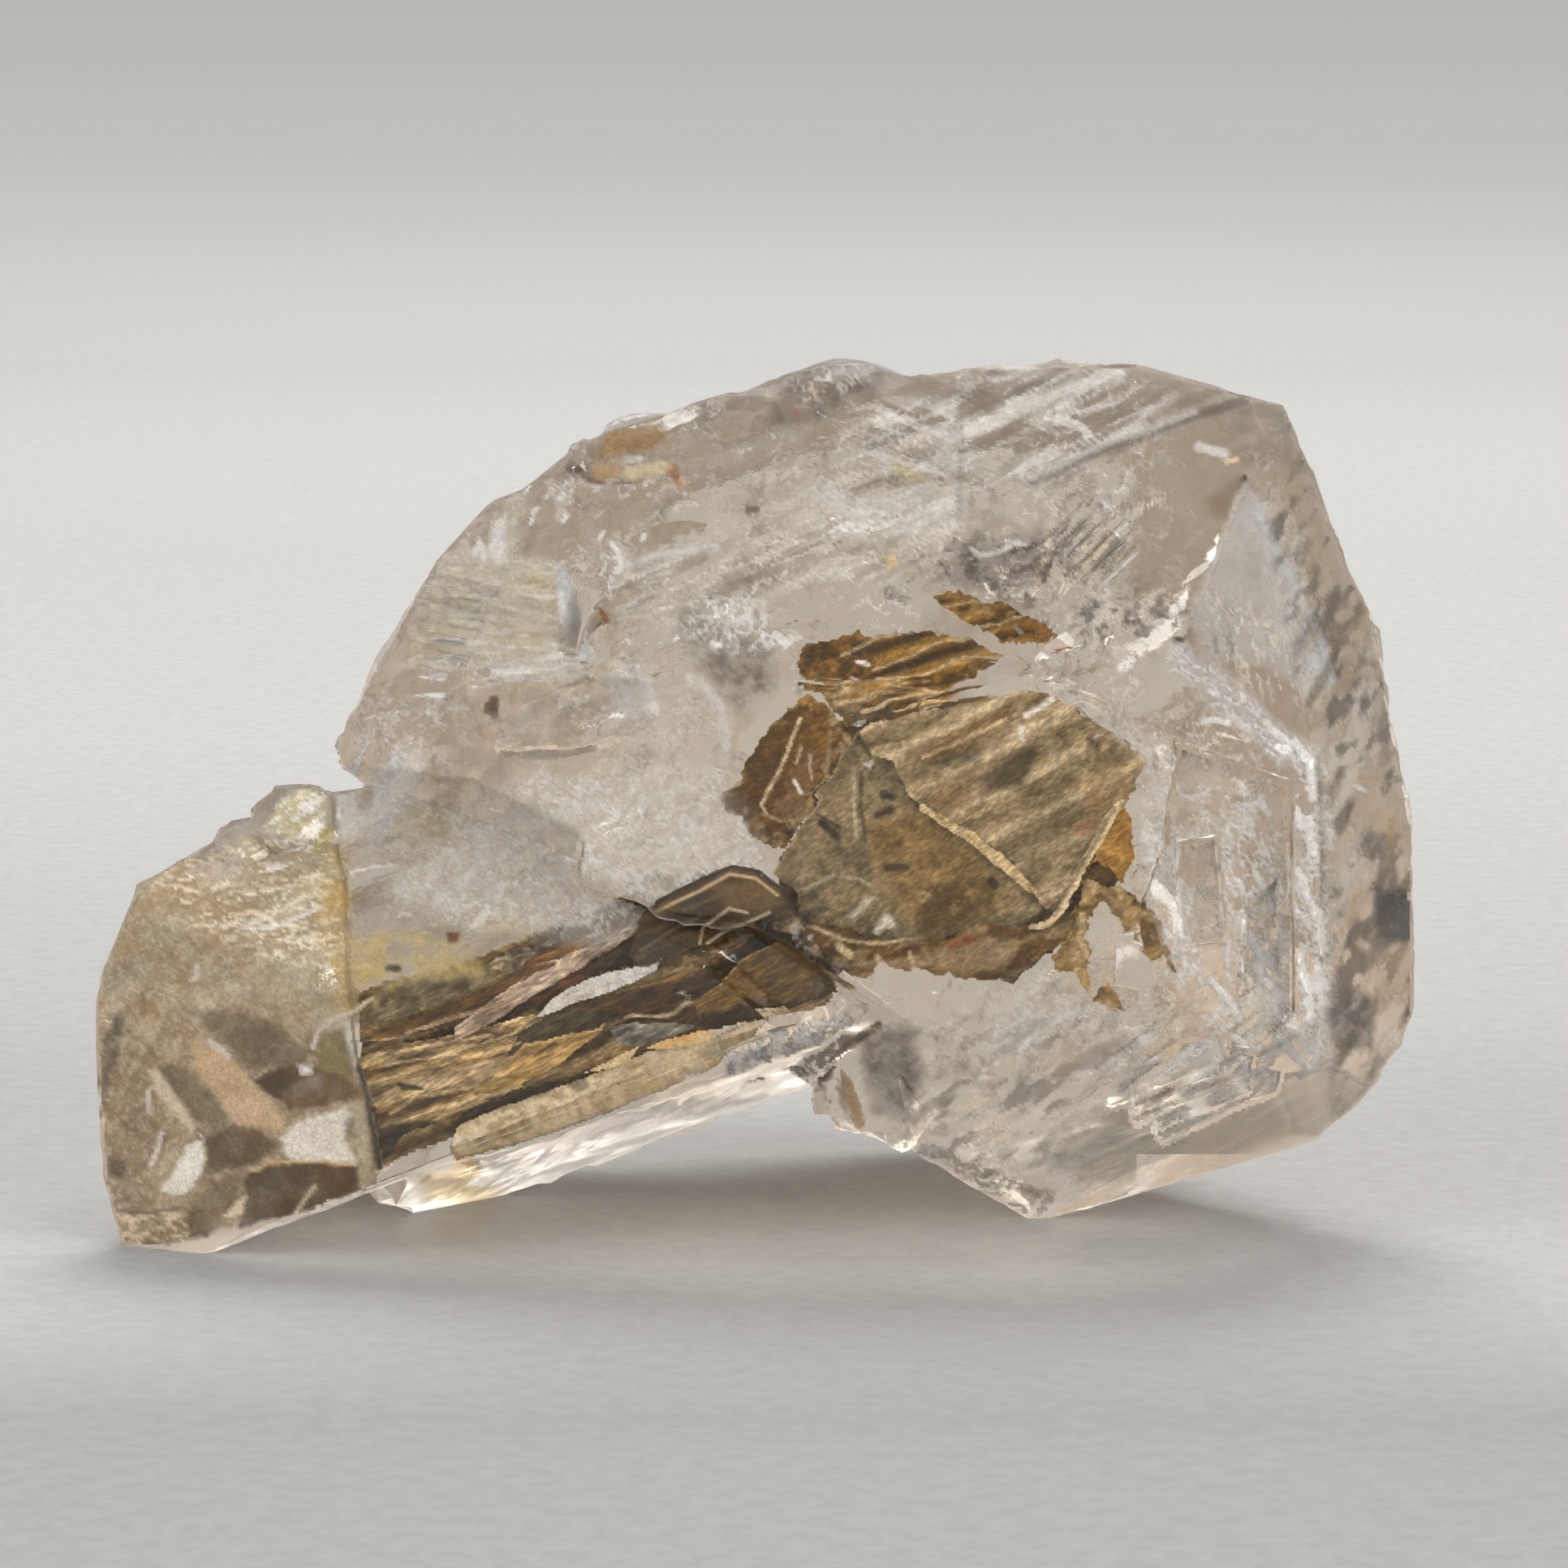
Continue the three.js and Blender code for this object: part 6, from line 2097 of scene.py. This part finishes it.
def block_facets(v):
    """Dark bars, facets and bright openings of the foot."""
    bar_dark, bar_brown, deep_brown = (118, 101, 71), (112, 82, 42), (78, 55, 26)
    stains = (
        ([(234, 1246), (276, 1242), (330, 1257), (370, 1288), (388, 1297), (366, 1317), (312, 1315),
          (268, 1279)], bar_dark, 0.85, 6, 26, 42, 0.7),
        ([(192, 1311), (230, 1313), (259, 1346), (290, 1384), (259, 1396), (232, 1369)],
         bar_dark, 0.82, 5, 20, 43, 0.7),
        ([(230, 1279), (272, 1293), (312, 1333), (352, 1378), (348, 1393), (294, 1387), (250, 1329)],
         (236, 204, 162), 0.62, 5),
    )
    each(v.area, stains)
    line = [(259, 1284), (276, 1295), (281, 1302)]
    v.mark(line, 4, ICE, 0.6, 4)
    stains = (
        ([(312, 1331), (348, 1315), (388, 1313), (433, 1329), (446, 1353), (401, 1360), (357, 1367),
          (334, 1346)], bar_brown, 0.90, 3, 22, 44, 0.8),
        ([(312, 1331), (343, 1317), (366, 1329), (348, 1355), (334, 1346)], deep_brown, 0.75, 4),
        ([(392, 1279), (424, 1266), (437, 1329), (392, 1315)], (146, 130, 76), 0.75, 6),
    )
    each(v.area, stains)
    line = [(386, 1291), (392, 1273), (410, 1257), (437, 1246), (459, 1230)]
    v.mark(line, 2.4, PEARL, 0.9, 3)
    stains = (
        ([(368, 1313), (388, 1313), (386, 1322), (370, 1324)], ICE, 0.95, 2),
        ([(198, 1467), (218, 1436), (230, 1413), (252, 1404), (252, 1436), (234, 1469), (218, 1474)],
         (255, 250, 240), 0.97, 2),
        ([(343, 1402), (375, 1378), (428, 1362), (437, 1373), (424, 1404), (439, 1431), (392, 1431),
          (357, 1427)], (255, 250, 238), 0.95, 3, 24, 45, 0.85),
        ([(252, 1404), (290, 1384), (330, 1400), (343, 1413), (312, 1436), (259, 1447)],
         (104, 80, 46), 0.93, 3, 22, 46, 0.8),
        ([(303, 1449), (330, 1431), (384, 1429), (439, 1436), (442, 1465), (392, 1485), (330, 1503),
          (294, 1514), (303, 1476)], (88, 65, 34), 0.92, 2.5, 22, 47, 0.8),
        ([(392, 1438), (437, 1438), (437, 1465), (401, 1476)], (104, 66, 28), 0.7, 5),
        ([(232, 1494), (259, 1454), (303, 1449), (294, 1480), (259, 1525), (227, 1525)],
         (122, 100, 68), 0.80, 5, 16, 48, 0.6),
        ([(276, 1500), (290, 1480), (303, 1476), (301, 1494)], (255, 236, 206), 0.97, 2),
    )
    each(v.area, stains)
    lines = (
        ([(312, 1442), (330, 1433), (384, 1431), (437, 1435)], 2.2, (240, 200, 150), 0.95, 2),
        ([(366, 1494), (377, 1476), (388, 1462)], 2.6, (226, 206, 172), 0.9, 3),
    )
    each(v.mark, lines)
    stain = [(185, 1320), (196, 1315), (214, 1346), (241, 1387), (236, 1396), (196, 1351)]
    v.area(stain, (244, 228, 204), 0.7, 4)
    lines = (
        ([(200, 1396), (192, 1422), (187, 1436)], 3, PEARL, 0.9, 3),
        ([(183, 1346), (186, 1369)], 4, PEARL, 0.7, 4),
        ([(236, 1208), (245, 1204), (243, 1190)], 3, PEARL, 0.8, 3),
    )
    each(v.mark, lines)
    stains = (
        ([(160, 1230), (187, 1230), (201, 1257), (178, 1253)], (160, 126, 76), 0.7, 5),
        ([(124, 1348), (128, 1290), (141, 1250), (158, 1238), (151, 1278), (139, 1330), (134, 1352)],
         (84, 74, 58), 0.85, 4, 12, 49, 0.5),
        ([(134, 1424), (160, 1430), (156, 1452), (138, 1452)], (104, 84, 60), 0.8, 5),
    )
    each(v.area, stains)


def upright_seam(v):
    """The upright seam and the glass beside it."""
    stain = [(428, 1364), (447, 1355), (455, 1391), (457, 1445), (444, 1449), (437, 1400)]
    v.area(stain, (206, 198, 166), 0.75, 4, 10, 50, 0.5)
    line = [(442, 1315), (451, 1346), (459, 1391), (469, 1438)]
    v.mark(line, 3.5, (66, 58, 38), 0.85, 3)
    stain = [(424, 1382), (437, 1373), (442, 1400), (428, 1404)]
    v.area(stain, (104, 96, 74), 0.6, 4)
    rim = [(111, 1476), (151, 1494), (223, 1494), (236, 1525), (160, 1543), (116, 1525)]
    v.threads(rim, 5, 7, 22, (255, 232, 198), 0.85, 50, 0.24, 6)
    v.streaks(rim, 5, 6, 16, (110, 84, 54), 0.65, 51, 0.0, 0.35, 6)
    line = [(113, 1478), (142, 1492), (183, 1494), (223, 1488)]
    v.mark(line, 2.4, (104, 80, 52), 0.8, 2.5)


def limb_painted_sparkles(v):
    """Painted sparkles where the limb meets the body: bright glints, with grey streaks between them."""
    spark = [(892, 1306), (953, 1270), (1024, 1254), (1060, 1249), (1021, 1327), (1006, 1345), (971, 1324),
        (903, 1341)]
    v.threads(spark, 28, 8, 18, ICE, 0.95, 75, 0.3, 5)
    v.streaks(spark, 28, 7, 16, (120, 118, 116), 0.5, 76, 0.1, 0.4, 5)
    # small painted glints
    for sparkle in (
        [(951, 1286), (962, 1282)],
        [(964, 1316), (978, 1315)],
        [(996, 1291), (1024, 1295)],
        [(994, 1334), (1012, 1341)],
        [(999, 1258), (1028, 1263)],
        [(906, 1324), (914, 1302)],
    ):
        v.mark(sparkle, 4.5, ICE, 1.0, 3)


def limb_arch(v):
    """The rounded top of the limb's upper wedge, where it comes up to the surface."""
    arch = [(789, 1134), (810, 1114), (856, 1089), (903, 1067), (935, 1074), (962, 1096), (981, 1129),
        (949, 1126), (917, 1140), (867, 1164), (824, 1181), (789, 1191), (774, 1177)]
    # painted shade on the left side of the rounded top, painted light on its right side
    painted_shade_side = [(789, 1145), (846, 1109), (874, 1106), (867, 1138), (864, 1159), (789, 1188)]
    painted_lit_side = [(874, 1091), (931, 1082), (967, 1109), (939, 1124), (896, 1120)]
    combed = patch(v.q, arch, 4) * smooth(0.0, 0.4, v.blotches(9, 77, 6.0, 24))
    v.dab(patch(v.q, arch, 3), (84, 64, 36), 0.95, over_clay=True)
    v.dab(patch(v.q, painted_shade_side, 8), (74, 64, 50), 0.8, over_clay=True)
    v.dab(patch(v.q, painted_lit_side, 8), (132, 102, 58), 0.8, over_clay=True)
    v.dab(combed, (140, 112, 70), 0.5, over_clay=True)
    for points, width, colour in (
        ([(810, 1111), (860, 1086), (903, 1068), (935, 1074), (962, 1096), (981, 1127)], 2.2, (62, 44, 26)),
        ([(810, 1122), (864, 1097), (899, 1077), (931, 1082), (958, 1103)], 1.8, (236, 200, 156)),
        ([(862, 1163), (866, 1143), (881, 1131), (898, 1119), (921, 1124)], 1.8, (226, 204, 168)),
        ([(871, 1163), (896, 1146), (917, 1138), (948, 1124)], 1.8, (226, 204, 168)),
        ([(789, 1172), (831, 1145), (864, 1127)], 1.5, (128, 112, 86)),
    ):
        v.dab(stroke(v.p, points, width, 2.0), colour, 0.95, over_clay=True)


FRONT = (
    frosted_patch, upper_streaks, upper_right, combed_patch, crumbled_ground, silver_grain_glints,
    scoop_shells, striated_column, top_left_stains, top_knob,
)
RIGHT_SIDE = (
    triangular_face, pale_band, herringbone, window_cells, front_edge, smoky_face, lower_ridges,
    arch_facet, foot_crest,
)
LEFT_SIDE = (
    block_body, block_top, yellow_lobe, seam_folds, block_facets, upright_seam,
)
# Each veil: two corners in the picture, and what is painted on it, in order.
TILES = {
    "upper_left": ((640, 420), (1010, 960), (fine_cracks, *FRONT, *LEFT_SIDE)),
    "upper_middle": ((1010, 420), (1400, 960), (fine_cracks, *FRONT, *RIGHT_SIDE)),
    "column": ((380, 560), (640, 1220), (fine_cracks, *FRONT, *LEFT_SIDE)),
    "frost": ((640, 960), (1010, 1240), (fine_cracks, *FRONT)),
    "right": ((1400, 460), (1760, 1420), (fine_cracks, *RIGHT_SIDE, *FRONT)),
    "foot": ((1010, 1180), (1400, 1520), (fine_cracks, limb_painted_sparkles, *RIGHT_SIDE)),
    "block": ((80, 960), (380, 1550), LEFT_SIDE),
    "seam": ((380, 1220), (640, 1550), (*LEFT_SIDE, limb_painted_sparkles)),
    "strip": ((640, 1240), (1010, 1460), (limb_painted_sparkles, *RIGHT_SIDE)),
}
VEIL_SEED = 200
VEIL_DEPTH, ARCH_DEPTH = 0.10, 0.06  # millimetres under the surface

for name, (low, high, paints) in TILES.items():
    veil = Veil(low, high, VEIL_DEPTH, VEIL_SEED)
    for paint in paints:
        paint(veil)
    veil.make("veil_" + name, MILK, "quartz")
veil = Veil((770, 1054), (1000, 1206), ARCH_DEPTH, VEIL_SEED, step=1.8)
limb_arch(veil)
veil.make("veil_arch", MILK, "quartz")


# ------------------------------------------------------------------ floor, light and camera
PAPER_SIDES = 48
PAPER_RADII = [0.02, 0.05, 0.1, 0.2, 0.4, 0.8, 1.6, 3.2, 6.0]  # metres
# The paper's colour from near to far, fitted so that it shades off as in the photograph: painted light and
# shade, darkest near the camera and brightest in the middle distance. Places on a square-root scale, and
# grey values.
PAPER_PAINTED_LIGHT = [
    (0.045, 0.263), (0.066, 0.257), (0.074, 0.247), (0.082, 0.279), (0.096, 0.338), (0.126, 0.328),
    (0.167, 0.333), (0.203, 0.351), (0.255, 0.344), (0.313, 0.366), (0.333, 0.369), (0.36, 0.416),
    (0.387, 0.475), (0.418, 0.554), (0.461, 0.658), (0.506, 0.693), (0.576, 0.673), (0.67, 0.628),
    (0.765, 0.604), (0.9, 0.621), (1.0, 0.60),
]
NEAR_EDGE = 0.04  # metres from the origin to the paper's darkest part, towards the camera
TONE_SCALE = 0.5625


def floor_mesh():
    """A round sheet of paper, finer towards the middle."""
    co = [(0, 0, 0)]
    for r in PAPER_RADII:
        turns = [2 * math.pi * i / PAPER_SIDES for i in range(PAPER_SIDES)]
        co += [(r * math.cos(turn), r * math.sin(turn), 0) for turn in turns]
    faces = []
    for i in range(PAPER_SIDES):
        j = (i + 1) % PAPER_SIDES
        faces.append((0, 1 + i, 1 + j))
        for k in range(len(PAPER_RADII) - 1):
            a = 1 + k * PAPER_SIDES
            b = a + PAPER_SIDES
            faces.append((a + i, b + i, b + j, a + j))
    made = bpy.data.meshes.new("paper")
    made.from_pydata(co, [], faces)
    return made


def paper_material():
    """Pale paper with a coarse grain, and painted light and shade: darker towards the camera."""
    mat, tree, shader = material("pale_paper")
    fibre = ramp(tree, grain(tree, 1500, 4, 0.7), [(0.35, (0.90, 0.90, 0.90)), (0.65, (1.0, 1.0, 1.0))])
    depth = node(tree, "ShaderNodeSeparateXYZ")
    tree.links.new(place(tree), depth.inputs["Vector"])
    root = maths(tree, "SQRT", maths(tree, "ADD", depth.outputs["Y"], NEAR_EDGE))
    tones = [(at, (grey, grey * 0.99, grey * 0.965)) for at, grey in PAPER_PAINTED_LIGHT]
    tone = ramp(tree, maths(tree, "MULTIPLY", root, TONE_SCALE), tones)
    tree.links.new(multiplied(tree, tone, fibre), shader.inputs["Base Color"])
    shader.inputs["Roughness"].default_value = 0.9
    shader.inputs["Specular IOR Level"].default_value = 0.15
    tree.links.new(bump(tree, grain(tree, 3500, 4, 0.7), 0.5, 0.00006), shader.inputs["Normal"])
    return mat


WARM_WHITE = (1.0, 0.99, 0.97)
SOFT_WHITE = (1.0, 0.99, 0.98)
CRYSTAL = (0, 0, 0.01)
# Each light: where it stands, where it points, its size, its power in watts and its colour.
LIGHTS = {
    "key_back": ((0.02, 0.24, 0.40), CRYSTAL, (0.28, 0.26), 2.5, WARM_WHITE),
    "sparkle_left": ((-0.32, -0.28, 0.30), CRYSTAL, (0.08, 0.08), 0.32, WARM_WHITE),
    "sparkle_right": ((0.34, -0.22, 0.26), CRYSTAL, (0.08, 0.08), 0.26, WARM_WHITE),
    "sparkle_top": ((0.20, -0.06, 0.44), CRYSTAL, (0.08, 0.08), 0.30, WARM_WHITE),
    "fill_right": ((0.46, -0.42, 0.16), CRYSTAL, (0.55, 0.30), 3.85, SOFT_WHITE),
    "fill_left": ((-0.54, -0.30, 0.20), CRYSTAL, (0.5, 0.36), 3.45, SOFT_WHITE),
    "backdrop": ((0, 2.85, 1.4), (0, 2.85, 0), (5.0, 4.7), 30.2, SOFT_WHITE),
}
NO_GLARE = ("key_back", "fill_left")  # these light the facets without a sheen
BACKDROP_SPREAD = 90


def add_light(name, at, aim, size, power, colour):
    light = bpy.data.lights.new(name, "AREA")
    light.shape = "RECTANGLE"
    light.size, light.size_y = size
    light.energy = power
    light.color = colour
    obj = add_object(name, light)
    obj.location = at
    obj.rotation_euler = (Vector(aim) - Vector(at)).to_track_quat("-Z", "Y").to_euler()
    obj.visible_glossy = name not in NO_GLARE


def light_studio():
    """Soft lights, and a sky that is brightest at the horizon."""
    for name, values in LIGHTS.items():
        add_light(name, *values)
    bpy.data.lights["backdrop"].spread = math.radians(BACKDROP_SPREAD)
    world = bpy.data.worlds.new("studio")
    scene.world = world
    world.use_nodes = True
    tree = world.node_tree
    up = node(tree, "ShaderNodeSeparateXYZ")
    tree.links.new(node(tree, "ShaderNodeTexCoord").outputs["Generated"], up.inputs["Vector"])
    height = maths(tree, "ADD", maths(tree, "MULTIPLY", up.outputs["Z"], 0.5), 0.5)
    sky = [
        (0.0, (0.45, 0.44, 0.42)),
        (0.5, (1.0, 0.99, 0.97)),
        (0.7, (0.9, 0.89, 0.88)),
        (1.0, (0.75, 0.75, 0.74)),
    ]
    tree.links.new(ramp(tree, height, sky), tree.nodes["Background"].inputs["Color"])
    tree.nodes["Background"].inputs["Strength"].default_value = 0.52


def add_camera():
    """The photograph's view."""
    lens = bpy.data.cameras.new("camera")
    lens.lens = LENS
    lens.sensor_width = SENSOR
    lens.clip_start = 0.005
    lens.clip_end = 20
    camera = add_object("camera", lens)
    camera.location = EYE * MM
    camera.rotation_euler = Vector(FORWARD).to_track_quat("-Z", "Y").to_euler()
    scene.camera = camera


floor = add_object("paper", floor_mesh())
floor.data.materials.append(paper_material())
light_studio()
add_camera()
scene.view_settings.view_transform = "Standard"
scene.cycles.use_denoising = True
scene.cycles.max_bounces = 12
scene.cycles.transmission_bounces = 10
scene.cycles.transparent_max_bounces = 10
scene.cycles.glossy_bounces = 4
scene.cycles.diffuse_bounces = 2
